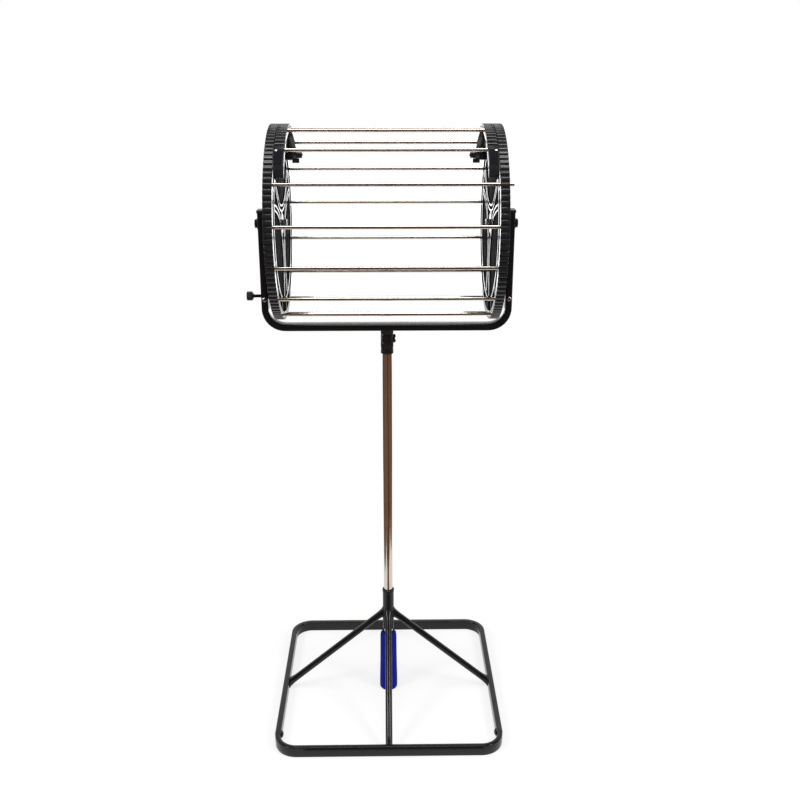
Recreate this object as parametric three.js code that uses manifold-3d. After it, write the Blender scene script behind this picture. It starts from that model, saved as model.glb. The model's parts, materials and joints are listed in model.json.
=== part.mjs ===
// Ball pick-up drum on a pole, turned upside down in its floor stand.
// Millimetres, +Z up, front towards -Y. The origin is on the floor under the pole.
import * as THREE from 'three';
import { mergeVertices } from 'three/addons/utils/BufferGeometryUtils.js';
import Module from 'manifold-3d';

const wasm = await Module();
wasm.setup();

// stand
const LOOP_SIZE = 400;
const LOOP_WIDE = 10;
const LOOP_TALL = 20;
const LOOP_CORNER = 40;
const TUBE_WALL = 1.2;
const FRONT_INSET = 0.8;
const JOINT_Y = -159;
const STUB_END = -129;
const JOINT_SCREW_Y = -150;
const JOINT_SCREW_RADIUS = 2.2;
const COLLAR_RADIUS = 10.3;
const COLLAR_BORE = 9;
const COLLAR_LOW = 130;
const COLLAR_TOP = 210.8;
const STRUT_RADIUS = 6;
const STRUT_BORE = 4.8;
const STRUT_TOP = 162.5;
const STRUT_FOOT = 9;

// pole and grip
const POLE_RADIUS = 8;
const POLE_WALL = 1;
const POLE_FOOT = 10.4;
const POLE_TOP = 700;
const GRIP_TOP = 119.8;
const GRIP_RADIUS = 15.1;
const GRIP_FOOT_RADIUS = 16.5;

// yoke, measured from the drum's axle
const AXLE_Z = 884;
const YOKE_HALF = 207;
const YOKE_TUBE = 11;
const YOKE_DEPTH = 24;
const YOKE_DROP = 176.9;
const YOKE_CORNER = 38;
const ARM_TOP = 17;
const CAP_HEIGHT = 4.2;
const CAP_ROUNDING = 0.8;
const SOCKET_RADIUS = 10.7;
const SOCKET_LENGTH = 41.8;
const WING_DROP = 192.3;

// axle
const BOLT_RADIUS = 4;
const BOLT_FLATS = 13;
const WASHER_RADIUS = 9;
const HUB_RADIUS = 17;
const HUB_END = 186.4;
const BUSH_RADIUS = 6.7;

// drum
const ROD_COUNT = 15;
const ROD_CIRCLE = 149;
const ROD_RADIUS = 2.7;
const ROD_PHASE = 6;
const ROD_HALF = 179;
const TREAD_RADIUS = 154.5;
const TREAD_ROOT = 152.4;
const TREAD_TEETH = 105;
const WHEEL_INNER = 166.4;
const WHEEL_OUTER = 180.3;
const RIM_INNER = 142;
const WEB_NEAR = 168.5;
const WEB_FAR = 173;
const RING_INNER = 112;
const RING_OUTER = 125;
const PANEL_COUNT = 3;
const SLOT_WIDTH = 5;
const FRAME_WIDTH = 3.2;

// door, as angles up from the drum's front
const DOOR_FIRST = 34;
const DOOR_BLOCK_END = 53;
const DOOR_TEETH_FROM = 56;
const DOOR_TEETH_TO = 131;
const DOOR_INNER_RADIUS = 139.5;
const DOOR_NEAR = 150.3;
const DOOR_FAR = 165.8;
const DOOR_RODS = [2, 3, 4, 5];
const HINGE_Y = 106;
const HINGE_Z = 99.5;
const HINGE_END_RADIUS = 9;
const BARREL_RADIUS = 5.7;
const BARREL_END = 141;
const PIN_RADIUS = 2.4;

// lock screw in the left arm
const LOCK_DROP = 119;
const LOCK_RADIUS = 2.6;
const LOCK_TIP = 180.9;
const KNOB_RADIUS = 7.65;
const KNOB_NEAR = 221.7;
const KNOB_FAR = 231.3;

const GAP = 0.3;

const paint = { color: 0x16171a, roughness: 0.38, metalness: 0.3 };
const plastic = { color: 0x121215, roughness: 0.3, metalness: 0 };
const steel = { color: 0xc9c8c4, roughness: 0.2, metalness: 1 };
const blackSteel = { color: 0x1a1b1e, roughness: 0.35, metalness: 0.6 };
const blue = { color: 0x20209a, roughness: 0.45, metalness: 0 };

const X = new THREE.Vector3(1, 0, 0);
const Y = new THREE.Vector3(0, 1, 0);
const Z = new THREE.Vector3(0, 0, 1);
const product = new THREE.Group();

const rad = (degrees) => degrees * Math.PI / 180;
// a point of the drum's side view, at an angle up from the front
const rim = (radius, degrees) => [-radius * Math.cos(rad(degrees)), radius * Math.sin(rad(degrees))];

function piece(name, geometry, look) {
  const mesh = new THREE.Mesh(geometry, new THREE.MeshStandardMaterial(look));
  mesh.name = name;
  product.add(mesh);
  return mesh;
}

// closed solids for joining and cutting
function solid(geometry) {
  const plain = geometry.clone();
  plain.deleteAttribute('normal');
  plain.deleteAttribute('uv');
  const merged = mergeVertices(plain, 1e-4);
  const mesh = new wasm.Mesh({
    numProp: 3,
    vertProperties: new Float32Array(merged.attributes.position.array),
    triVerts: new Uint32Array(merged.index.array),
  });
  return new wasm.Manifold(mesh);
}

function toGeometry(body) {
  const mesh = body.getMesh();
  const geometry = new THREE.BufferGeometry();
  geometry.setAttribute('position', new THREE.BufferAttribute(new Float32Array(mesh.vertProperties), 3));
  geometry.setIndex(new THREE.BufferAttribute(new Uint32Array(mesh.triVerts), 1));
  geometry.computeVertexNormals();
  return geometry;
}

const join = (first, ...rest) => rest.reduce((sum, next) => sum.add(next), first);
const cut = (first, ...rest) => rest.reduce((sum, next) => sum.subtract(next), first);

// turned shapes: the profile holds [radius, height] pairs
function turned(profile, sides = 24) {
  const points = profile.map(([radius, height]) => new THREE.Vector2(radius, height));
  return new THREE.LatheGeometry(points, sides).rotateX(Math.PI / 2);
}

function rod(radius, from, to, sides = 24) {
  return turned([[0, from], [radius, from], [radius, to], [0, to]], sides);
}

function sleeve(inner, outer, from, to, sides = 24) {
  return turned([[inner, from], [outer, from], [outer, to], [inner, to], [inner, from]], sides);
}

// lay a shape that stands along Z down along X, centred on the given side-view point
const alongX = (geometry, y = 0, z = AXLE_Z) => geometry.rotateY(Math.PI / 2).translate(0, y, z);

// a span on the left (-1) or right (+1) side, as [low, high]
const span = (side, near, far) => side > 0 ? [near, far] : [-far, -near];

function outline(points) {
  return new THREE.Shape(points.map(([u, v]) => new THREE.Vector2(u, v)));
}

// extrude a side view (y, z about the axle) from one x to another
function sidePlate(shape, [low, high], curveSegments = 8) {
  const geometry = new THREE.ExtrudeGeometry(shape, { depth: high - low, bevelEnabled: false, curveSegments });
  geometry.applyMatrix4(new THREE.Matrix4().makeBasis(Y, Z, X));
  return geometry.translate(low, 0, AXLE_Z);
}

function roundedRect(width, height, radius, Kind = THREE.Shape) {
  const shape = new Kind();
  const w = width / 2;
  const h = height / 2;
  shape.moveTo(-w + radius, -h);
  shape.lineTo(w - radius, -h);
  shape.absarc(w - radius, -h + radius, radius, -Math.PI / 2, 0, false);
  shape.lineTo(w, h - radius);
  shape.absarc(w - radius, h - radius, radius, 0, Math.PI / 2, false);
  shape.lineTo(-w + radius, h);
  shape.absarc(-w + radius, h - radius, radius, Math.PI / 2, Math.PI, false);
  shape.lineTo(-w, -h + radius);
  shape.absarc(-w + radius, -h + radius, radius, Math.PI, 1.5 * Math.PI, false);
  return shape;
}

const polygon = (sides, radius, turn = 0) => outline(
  Array.from({ length: sides }, (_, i) => {
    const angle = 2 * Math.PI * i / sides + turn;
    return [radius * Math.cos(angle), radius * Math.sin(angle)];
  }));

function hexBlock(flats, from, to) {
  const shape = polygon(6, flats / Math.sqrt(3));
  return new THREE.ExtrudeGeometry(shape, { depth: to - from, bevelEnabled: false }).translate(0, 0, from);
}

// stand
// full ring whose sides lie this far in from the base's outer and inner lines and from its floor and top
function baseRing(inset, rise = inset) {
  const band = (width, corner, Kind) => roundedRect(width, width, corner, Kind);
  const inside = LOOP_WIDE - inset;
  const shape = band(LOOP_SIZE - 2 * inset, LOOP_CORNER - inset, THREE.Shape);
  shape.holes.push(band(LOOP_SIZE - 2 * inside, LOOP_CORNER - inside, THREE.Path));
  const depth = LOOP_TALL - 2 * rise;
  const geometry = new THREE.ExtrudeGeometry(shape, { depth, bevelEnabled: false, curveSegments: 6 });
  return solid(geometry.translate(0, 0, rise));
}

// two U tubes: the front one slips into the rear one's ends and is held by a screw on each side
function makeBase() {
  const half = (y) => solid(new THREE.BoxGeometry(600, 400, 60).translate(0, y, 0));
  const screwWays = [-1, 1].map((side) => solid(
    alongX(rod(JOINT_SCREW_RADIUS + GAP, side * 191 - 4, side * 191 + 4, 16), JOINT_SCREW_Y, LOOP_TALL / 2)));
  const rearTube = cut(baseRing(0), baseRing(TUBE_WALL));
  piece('base_rear', toGeometry(cut(rearTube, half(JOINT_Y - 200), ...screwWays)), paint);
  const front = cut(baseRing(FRONT_INSET, 0), half(JOINT_Y - GAP + 200));
  const stubs = cut(baseRing(TUBE_WALL + GAP), half(STUB_END + 200));
  const frontTube = cut(join(front, stubs), baseRing(2.5), ...screwWays);
  piece('base_front', toGeometry(frontTube), paint);
  const face = LOOP_SIZE / 2 - LOOP_WIDE - GAP;
  for (const [side, word] of [[-1, 'left'], [1, 'right']]) {
    const screw = turned([
      [0, -face - 5.5], [JOINT_SCREW_RADIUS, -face - 5.5], [JOINT_SCREW_RADIUS, -face], [6.5, -face], [6.1, -face + 1.8],
      [4.2, -face + 3], [1.5, -face + 3.5], [0, -face + 3.5],
    ], 24);
    const facing = side > 0 ? screw.rotateY(Math.PI) : screw;
    piece(`base_screw_${word}`, alongX(facing, JOINT_SCREW_Y, LOOP_TALL / 2), paint);
  }
}

function makeStrut(name, turn, inset = 0) {
  const reach = LOOP_SIZE / 2 - LOOP_WIDE - GAP + inset;
  const run = reach + 10;
  const start = new THREE.Vector3(0, 0, STRUT_TOP + (STRUT_TOP - STRUT_FOOT) * COLLAR_RADIUS / reach);
  const fall = (start.z - STRUT_FOOT) / reach;
  const end = new THREE.Vector3(run, 0, start.z - fall * run);
  const tube = sleeve(STRUT_BORE, STRUT_RADIUS, 0, start.distanceTo(end), 16);
  const heading = end.clone().sub(start).normalize();
  tube.applyQuaternion(new THREE.Quaternion().setFromUnitVectors(Z, heading)).translate(start.x, start.y, start.z);
  const inCollar = solid(rod(COLLAR_RADIUS + GAP, -20, 260, 32));
  const behind = solid(new THREE.BoxGeometry(60, 60, 300).translate(-30, 0, 150));
  const beyond = solid(new THREE.BoxGeometry(60, 60, 200).translate(reach + 30, 0, 50));
  const body = cut(solid(tube), inCollar, behind, beyond);
  piece(name, toGeometry(body).rotateZ(rad(turn)), paint);
}

function makeCollar() {
  const tube = [
    [COLLAR_BORE, COLLAR_LOW], [COLLAR_RADIUS, COLLAR_LOW], [COLLAR_RADIUS, COLLAR_TOP - 4],
    [COLLAR_RADIUS + 0.5, COLLAR_TOP - 1.5], [COLLAR_RADIUS + 0.5, COLLAR_TOP], [COLLAR_BORE, COLLAR_TOP],
    [COLLAR_BORE, COLLAR_LOW],
  ];
  piece('stand_collar', turned(tube, 32), paint);
  const bore = POLE_RADIUS + GAP;
  const flange = COLLAR_TOP + GAP;
  const bush = [
    [bore, COLLAR_TOP - 16], [COLLAR_BORE - 0.2, COLLAR_TOP - 16], [COLLAR_BORE - 0.2, flange],
    [COLLAR_RADIUS, flange], [COLLAR_RADIUS - 0.4, flange + 1.4], [bore, flange + 1.4], [bore, COLLAR_TOP - 16],
  ];
  piece('collar_bush', turned(bush, 32), plastic);
}

// pole
function makePole() {
  const inner = POLE_RADIUS - POLE_WALL;
  piece('pole_tube', sleeve(inner, POLE_RADIUS, POLE_FOOT, POLE_TOP, 32), steel);
  piece('pole_plug', rod(inner - GAP, POLE_TOP - 24, POLE_TOP - 0.5), plastic);
  const bore = POLE_RADIUS + GAP;
  const grip = [
    [0, 0], [GRIP_FOOT_RADIUS - 3, 0], [GRIP_FOOT_RADIUS - 0.8, 1.6], [GRIP_FOOT_RADIUS, 5], [GRIP_FOOT_RADIUS, 14],
    [GRIP_RADIUS + 0.4, 60], [GRIP_RADIUS, GRIP_TOP - 6], [GRIP_RADIUS - 0.9, GRIP_TOP - 1.6],
    [GRIP_RADIUS - 2.6, GRIP_TOP], [bore, GRIP_TOP], [bore, POLE_FOOT - GAP], [0, POLE_FOOT - GAP],
  ];
  piece('pole_grip', turned(grip, 32), blue);
}

// yoke
// U bar whose faces lie this far inside the yoke's own, up to the given height over the axle
function yokeBar(inset, top) {
  const shape = new THREE.Shape();
  const outer = YOKE_HALF - inset;
  const inner = YOKE_HALF - YOKE_TUBE + inset;
  const bend = YOKE_CORNER - YOKE_TUBE + inset;
  const middle = YOKE_HALF - YOKE_CORNER;
  const height = YOKE_CORNER - YOKE_DROP;
  shape.moveTo(-outer, top);
  shape.lineTo(-outer, height);
  shape.absarc(-middle, height, YOKE_CORNER - inset, Math.PI, 1.5 * Math.PI, false);
  shape.lineTo(middle, -YOKE_DROP + inset);
  shape.absarc(middle, height, YOKE_CORNER - inset, 1.5 * Math.PI, 2 * Math.PI, false);
  shape.lineTo(outer, top);
  shape.lineTo(inner, top);
  shape.lineTo(inner, height);
  shape.absarc(middle, height, bend, 0, -Math.PI / 2, true);
  shape.lineTo(-middle, height - bend);
  shape.absarc(-middle, height, bend, -Math.PI / 2, -Math.PI, true);
  shape.lineTo(-inner, top);
  const depth = YOKE_DEPTH - 2 * inset;
  const bar = new THREE.ExtrudeGeometry(shape, { depth, bevelEnabled: false, curveSegments: 6 });
  return solid(bar.rotateX(Math.PI / 2).translate(0, depth / 2, AXLE_Z));
}

function makeYoke() {
  const tube = cut(yokeBar(0, ARM_TOP), yokeBar(TUBE_WALL, ARM_TOP + 5));
  const axleHole = solid(alongX(rod(BOLT_RADIUS + GAP, -220, 220, 16)));
  const lockHole = solid(alongX(rod(LOCK_RADIUS + 0.4, -220, -180, 16), 0, AXLE_Z - LOCK_DROP));
  const screwHoles = [-1, 1].map((side) => solid(
    rod(2.3, 3.5, 20, 12).rotateX(Math.PI / 2).translate(side * armMiddle, 0, AXLE_Z - SCREW_DROP)));
  piece('yoke_frame', toGeometry(cut(tube, axleHole, lockHole, ...screwHoles)), paint);
}

const armMiddle = YOKE_HALF - YOKE_TUBE / 2;
const SCREW_DROP = 123;

function makeArmTrim(side, word) {
  const cap = roundedRect(YOKE_TUBE + 2, YOKE_DEPTH + 1.6, 3);
  const edge = CAP_ROUNDING;
  const block = new THREE.ExtrudeGeometry(cap, {
    depth: CAP_HEIGHT - edge, bevelEnabled: true, bevelThickness: edge, bevelSize: edge, bevelOffset: -edge,
    bevelSegments: 2, curveSegments: 5,
  });
  block.translate(side * armMiddle, 0, AXLE_Z + ARM_TOP + GAP + edge);
  const flatFoot = solid(new THREE.BoxGeometry(40, 40, 20).translate(side * armMiddle, 0, AXLE_Z + ARM_TOP + GAP - 10));
  piece(`arm_cap_${word}`, toGeometry(cut(solid(block), flatFoot)), plastic);
  const face = YOKE_DEPTH / 2 + GAP;
  const head = [[0, 4], [2, 4], [2, face], [3.8, face], [3.3, face + 1.6], [1.8, face + 2.2], [0, face + 2.3]];
  const screw = turned(head, 20).rotateX(Math.PI / 2);
  piece(`yoke_screw_${word}`, screw.translate(side * armMiddle, 0, AXLE_Z - SCREW_DROP), steel);
}

function makeSocket() {
  const top = AXLE_Z - YOKE_DROP - GAP;
  const low = AXLE_Z - YOKE_DROP - SOCKET_LENGTH;
  const bore = POLE_RADIUS + GAP;
  const tube = turned([
    [0, top - 3], [bore, top - 3], [bore, low], [SOCKET_RADIUS - 1.2, low], [SOCKET_RADIUS, low + 1.6],
    [SOCKET_RADIUS, top], [0, top],
  ], 32);
  const height = AXLE_Z - WING_DROP;
  const screwWay = solid(alongX(rod(3, 4, 40, 16), 0, height));
  piece('yoke_socket', toGeometry(cut(solid(tube), screwWay)), paint);
  const nutFrom = SOCKET_RADIUS + GAP;
  const nut = solid(hexBlock(9, nutFrom, nutFrom + 1));
  const nutBore = solid(rod(2.9, 0, 40, 16));
  piece('socket_nut', alongX(toGeometry(cut(nut, nutBore)), 0, height), paint);
  // the screw's head is a low hub with a lobe above and a lobe below
  const headFrom = nutFrom + 1 + GAP;
  const hub = solid(turned([
    [0, POLE_RADIUS + 0.4], [2.5, POLE_RADIUS + 0.4], [2.5, headFrom], [3.7, headFrom], [3.3, headFrom + 1.1],
    [0, headFrom + 1.2],
  ], 16));
  const lobe = [[7.4, 0.2], [7.6, 1.1], [6.4, 2.1], [4.6, 2.4], [2.8, 1.7], [1.6, 0.9]];
  const wing = outline(lobe.concat(lobe.map(([along, out]) => [-along, out]).reverse()));
  const blades = new THREE.ExtrudeGeometry(wing, { depth: 2.6, bevelEnabled: false });
  const wings = solid(blades.translate(0, headFrom, -1.3).rotateX(Math.PI / 2));
  piece('socket_wing_screw', alongX(toGeometry(join(hub, wings)), 0, height), paint);
}

// axle set of one side
function makeAxle(side, word) {
  const face = YOKE_HALF;
  const inner = YOKE_HALF - YOKE_TUBE;
  const place = (geometry) => alongX(side > 0 ? geometry : geometry.rotateY(Math.PI));
  const head = solid(hexBlock(BOLT_FLATS, face + 1.9, face + 5.4));
  const shank = solid(rod(BOLT_RADIUS, WEB_NEAR - 8.4, face + 2.2, 20));
  piece(`axle_bolt_${word}`, place(toGeometry(join(head, shank))), blackSteel);
  const bore = BOLT_RADIUS + GAP;
  piece(`axle_washer_${word}`, place(sleeve(bore, WASHER_RADIUS, face + GAP, face + 1.6)), blackSteel);
  piece(`axle_spacer_${word}`, place(sleeve(bore, WASHER_RADIUS - 1, HUB_END + GAP, inner - GAP)), plastic);
  piece(`hub_bush_${word}`, place(sleeve(bore, BUSH_RADIUS, WEB_NEAR - 1.2, HUB_END - GAP)), plastic);
  const nut = solid(hexBlock(BOLT_FLATS, WEB_NEAR - 8, WEB_NEAR - 1.6));
  piece(`axle_nut_${word}`, place(toGeometry(cut(nut, solid(rod(bore, 100, 200, 16))))), steel);
}

// tread outline: teeth with sloped flanks between two angles, as side-view points
function treadPoints(from, to, teeth) {
  const pitch = (to - from) / teeth;
  const points = [];
  for (let i = 0; i < teeth; i += 1) {
    const start = from + i * pitch;
    points.push(rim(TREAD_ROOT, start + 0.06 * pitch));
    points.push(rim(TREAD_RADIUS, start + 0.2 * pitch));
    points.push(rim(TREAD_RADIUS, start + 0.8 * pitch));
    points.push(rim(TREAD_ROOT, start + 0.94 * pitch));
  }
  return points;
}

const circle = (radius) => new THREE.Path().absarc(0, 0, radius, 0, 2 * Math.PI, false);

// window between two rod positions, in the band outside the ring
function rimWindow(middle) {
  const low = RING_OUTER + 1.5;
  const high = RIM_INNER - 1;
  const half = 9;
  const points = [];
  for (const t of [-1, -0.35, 0.35, 1]) points.push(rim(low, middle + t * (half - 1)));
  for (const t of [1, 0.35, -0.35, -1]) points.push(rim(high, middle + t * half));
  return new THREE.Path(points.map(([u, v]) => new THREE.Vector2(u, v)));
}

// outline of the U-shaped slot that frames one face panel, whose axis points at the given angle;
// grown outwards it is the outline of the raised frame round the slot
function panelSlot(axis, grown = 0) {
  const half = SLOT_WIDTH / 2 + grown;
  const curve = new THREE.CatmullRomCurve3([
    [-86, 72], [-66, 52], [-38, 32], [0, 25], [38, 32], [66, 52], [86, 72],
  ].map(([side, out]) => new THREE.Vector3(side, out, 0)));
  const steps = 14;
  const left = [];
  const right = [];
  for (let i = 0; i <= steps; i += 1) {
    const point = curve.getPointAt(i / steps);
    const along = curve.getTangentAt(i / steps);
    const beyond = i === 0 ? -grown : i === steps ? grown : 0;
    point.addScaledVector(along, beyond);
    left.push([point.x - along.y * half, point.y + along.x * half]);
    right.push([point.x + along.y * half, point.y - along.x * half]);
  }
  const turn = rad(90 - axis);
  const ring = left.concat(right.reverse()).map(([side, out]) => new THREE.Vector2(
    side * Math.cos(turn) + out * Math.sin(turn), out * Math.cos(turn) - side * Math.sin(turn)));
  return new THREE.Shape(ring);
}

function makeWheel(side, word) {
  const tread = outline(treadPoints(0, 360, TREAD_TEETH));
  tread.holes.push(circle(RIM_INNER));
  const rimBody = solid(sidePlate(tread, span(side, WHEEL_INNER, WHEEL_OUTER), 30));
  const web = new THREE.Shape().absarc(0, 0, RIM_INNER + 0.6, 0, 2 * Math.PI, false);
  for (let i = 0; i < ROD_COUNT; i += 1) web.holes.push(rimWindow(ROD_PHASE + (i + 0.5) * 360 / ROD_COUNT));
  for (let i = 0; i < PANEL_COUNT; i += 1) web.holes.push(panelSlot(90 + i * 360 / PANEL_COUNT));
  const webBody = solid(sidePlate(web, span(side, WEB_NEAR, WEB_FAR), 30));
  const frames = [];
  for (let i = 0; i < PANEL_COUNT; i += 1) {
    const axis = 90 + i * 360 / PANEL_COUNT;
    const frame = solid(sidePlate(panelSlot(axis, FRAME_WIDTH), span(side, WHEEL_INNER + GAP, WEB_NEAR + 0.5)));
    frames.push(cut(frame, solid(sidePlate(panelSlot(axis), span(side, WHEEL_INNER - 5, WEB_FAR)))));
  }
  const ring = new THREE.Shape().absarc(0, 0, RING_OUTER, 0, 2 * Math.PI, false);
  ring.holes.push(circle(RING_INNER + 5));
  const ringBody = solid(sidePlate(ring, span(side, WEB_NEAR + 1, WHEEL_OUTER), 24));
  const [hubLow, hubHigh] = span(side, WEB_NEAR - 1, HUB_END);
  const hub = solid(alongX(rod(HUB_RADIUS, hubLow, hubHigh, 32)));
  const bore = solid(alongX(rod(BUSH_RADIUS + GAP, side * 120 - 80, side * 120 + 80, 24)));
  const holes = [];
  for (let i = 0; i < ROD_COUNT; i += 1) {
    if (DOOR_RODS.includes(i)) continue;
    const [y, z] = rim(ROD_CIRCLE, ROD_PHASE + i * 360 / ROD_COUNT);
    holes.push(solid(alongX(rod(ROD_RADIUS + GAP, side * 120 - 80, side * 120 + 80, 12), y, AXLE_Z + z)));
  }
  holes.push(solid(alongX(rod(PIN_RADIUS + GAP, side * 120 - 80, side * 120 + 80, 12), HINGE_Y, AXLE_Z + HINGE_Z)));
  piece(`wheel_${word}`, toGeometry(cut(join(rimBody, webBody, ringBody, hub, ...frames), bore, ...holes)), plastic);
}

// door arc of one side: smooth block, treaded band and a round end at the hinge
function doorOutline() {
  const points = [];
  points.push(rim(DOOR_INNER_RADIUS + 2, DOOR_FIRST));
  points.push(rim(147, DOOR_FIRST + 1.6));
  points.push(rim(153.4, DOOR_FIRST + 6));
  for (let a = DOOR_FIRST + 9; a <= DOOR_BLOCK_END; a += 3.3) points.push(rim(153.6, a));
  points.push(rim(153.6, DOOR_BLOCK_END));
  points.push(rim(TREAD_ROOT, DOOR_BLOCK_END + 0.3));
  const teeth = Math.round((DOOR_TEETH_TO - DOOR_TEETH_FROM) * TREAD_TEETH / 360);
  points.push(...treadPoints(DOOR_TEETH_FROM, DOOR_TEETH_TO, teeth));
  const hinge = Math.atan2(HINGE_Z, HINGE_Y);
  for (let i = 0; i <= 8; i += 1) {
    const angle = hinge + rad(50 - i * 230 / 8);
    points.push([HINGE_Y + HINGE_END_RADIUS * Math.cos(angle), HINGE_Z + HINGE_END_RADIUS * Math.sin(angle)]);
  }
  for (let a = 131; a > DOOR_FIRST + 2; a -= 4.6) points.push(rim(DOOR_INNER_RADIUS, a));
  return outline(points);
}

function makeDoorArc(side, word) {
  const plate = solid(sidePlate(doorOutline(), span(side, DOOR_NEAR, DOOR_FAR)));
  const [low, high] = span(side, BARREL_END, DOOR_NEAR + 1);
  const barrel = solid(alongX(rod(BARREL_RADIUS, low, high, 20), HINGE_Y, AXLE_Z + HINGE_Z));
  const [lugLow, lugHigh] = span(side, 146, 158);
  const lug = new THREE.BoxGeometry(lugHigh - lugLow, 8, 7);
  lug.translate((lugLow + lugHigh) / 2, HINGE_Y - 3, AXLE_Z + HINGE_Z - 9.5);
  const pinWay = solid(alongX(rod(PIN_RADIUS + GAP, side * 150 - 40, side * 150 + 40, 12), HINGE_Y, AXLE_Z + HINGE_Z));
  const [wellLow, wellHigh] = span(side, BARREL_END + 1.6, DOOR_FAR - 4);
  const well = solid(alongX(rod(4.6, wellLow, wellHigh, 16), HINGE_Y, AXLE_Z + HINGE_Z));
  const holes = DOOR_RODS.map((i) => {
    const [y, z] = rim(ROD_CIRCLE, ROD_PHASE + i * 360 / ROD_COUNT);
    return solid(alongX(rod(ROD_RADIUS + GAP, side * 150 - 40, side * 150 + 40, 12), y, AXLE_Z + z));
  });
  piece(`door_arc_${word}`, toGeometry(cut(join(plate, barrel, solid(lug)), pinWay, well, ...holes)), plastic);
  const [springLow, springHigh] = span(side, BARREL_END + 2.2, DOOR_FAR - 4.6);
  piece(`door_spring_${word}`, alongX(sleeve(3, 4.2, springLow, springHigh, 12), HINGE_Y, AXLE_Z + HINGE_Z), steel);
  const [pinLow, pinHigh] = span(side, BARREL_END - 0.6, WHEEL_OUTER - 0.6);
  piece(`hinge_pin_${word}`, alongX(rod(PIN_RADIUS, pinLow, pinHigh, 16), HINGE_Y, AXLE_Z + HINGE_Z), steel);
}

function makeRods() {
  for (let i = 0; i < ROD_COUNT; i += 1) {
    const [y, z] = rim(ROD_CIRCLE, ROD_PHASE + i * 360 / ROD_COUNT);
    const inDoor = DOOR_RODS.includes(i);
    const name = inDoor ? `door_rod_${i - 1}` : `drum_rod_${i < 2 ? i + 1 : i - 3}`;
    const half = inDoor ? DOOR_FAR - 0.5 : ROD_HALF;
    // one rod sits long and shows its end outside the right wheel
    const far = i === 1 ? 187 : half;
    piece(name, alongX(rod(ROD_RADIUS, -half, far, 12), y, AXLE_Z + z), steel);
  }
}

// lock screw
function makeLock() {
  const height = AXLE_Z - LOCK_DROP;
  const stem = turned([[0, -KNOB_FAR + 3], [LOCK_RADIUS, -KNOB_FAR + 3], [LOCK_RADIUS, -LOCK_TIP - 1], [LOCK_RADIUS - 1, -LOCK_TIP],
    [0, -LOCK_TIP]], 16);
  piece('lock_stem', alongX(stem, 0, height), blackSteel);
  const lobes = 12;
  const points = [];
  for (let i = 0; i < lobes * 4; i += 1) {
    const radius = KNOB_RADIUS - 0.8 * (i % 4 === 0 ? 1 : 0);
    points.push([radius * Math.cos(Math.PI * i / (2 * lobes)), radius * Math.sin(Math.PI * i / (2 * lobes))]);
  }
  const head = new THREE.ExtrudeGeometry(outline(points), { depth: KNOB_FAR - KNOB_NEAR, bevelEnabled: false });
  head.translate(0, 0, -KNOB_FAR);
  const well = solid(rod(LOCK_RADIUS + GAP, -KNOB_FAR + 2.6, -200, 16));
  piece('lock_knob', alongX(toGeometry(cut(solid(head), well)), 0, height), plastic);
  const inner = YOKE_HALF - YOKE_TUBE;
  const nut = solid(hexBlock(10, -inner + GAP, -inner + 4.4));
  const way = solid(rod(LOCK_RADIUS + 0.35, -210, -180, 16));
  piece('lock_nut', alongX(toGeometry(cut(nut, way)), 0, height), steel);
}

makeBase();
makeStrut('strut_right', 0);
makeStrut('strut_rear', 90);
makeStrut('strut_left', 180);
makeStrut('strut_front', 270, FRONT_INSET);
makeCollar();
makePole();
makeYoke();
makeSocket();
for (const [side, word] of [[-1, 'left'], [1, 'right']]) {
  makeArmTrim(side, word);
  makeAxle(side, word);
  makeWheel(side, word);
  makeDoorArc(side, word);
}
makeRods();
makeLock();

export default product;
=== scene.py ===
import json
import math

import bpy
import bmesh
from mathutils import Matrix, Vector


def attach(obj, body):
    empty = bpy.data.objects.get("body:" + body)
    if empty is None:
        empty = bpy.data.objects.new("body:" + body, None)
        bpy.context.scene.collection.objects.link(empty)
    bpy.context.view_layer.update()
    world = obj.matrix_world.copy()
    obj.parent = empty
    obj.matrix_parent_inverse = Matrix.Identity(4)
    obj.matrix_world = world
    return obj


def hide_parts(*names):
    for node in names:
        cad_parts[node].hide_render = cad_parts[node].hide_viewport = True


# Wire pick-up drum on a pole, upside down in its floor stand. Metres, +Z up, front towards -Y.
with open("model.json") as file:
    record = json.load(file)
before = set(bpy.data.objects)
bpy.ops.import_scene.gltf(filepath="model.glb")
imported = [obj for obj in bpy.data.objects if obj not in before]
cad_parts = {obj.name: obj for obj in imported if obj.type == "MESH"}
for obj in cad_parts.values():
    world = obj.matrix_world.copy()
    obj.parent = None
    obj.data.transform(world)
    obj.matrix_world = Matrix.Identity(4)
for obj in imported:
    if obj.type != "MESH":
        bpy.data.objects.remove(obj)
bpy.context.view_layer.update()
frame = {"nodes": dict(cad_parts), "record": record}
mm = 0.001
axleHeight = 884
axle = Vector((0, 0, axleHeight * mm))
axisX = Vector((1, 0, 0))
axisY = Vector((0, 1, 0))
axisZ = Vector((0, 0, 1))
quarterTurn = Matrix.Rotation(math.radians(90), 4, "Y")
sides = {"left": -1, "right": 1}


# sRGB hex to the linear colour that nodes take
def linear(code):
    parts = [int(code[i:i + 2], 16) / 255 for i in (1, 3, 5)]
    return tuple(c / 12.92 if c <= 0.04045 else ((c + 0.055) / 1.055) ** 2.4 for c in parts) + (1.0,)


# stops are the places and greys of a colour ramp
def addNode(tree, kind, inputs=None, stops=(), **settings):
    node = tree.nodes.new(kind)
    for key, value in settings.items():
        setattr(node, key, value)
    for key, value in (inputs or {}).items():
        if isinstance(value, bpy.types.NodeSocket):
            tree.links.new(value, node.inputs[key])
        else:
            node.inputs[key].default_value = value
    for k, (place, grey) in enumerate(stops):
        node.color_ramp.elements[k].position = place
        node.color_ramp.elements[k].color = (grey, grey, grey, 1)
    return node


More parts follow.
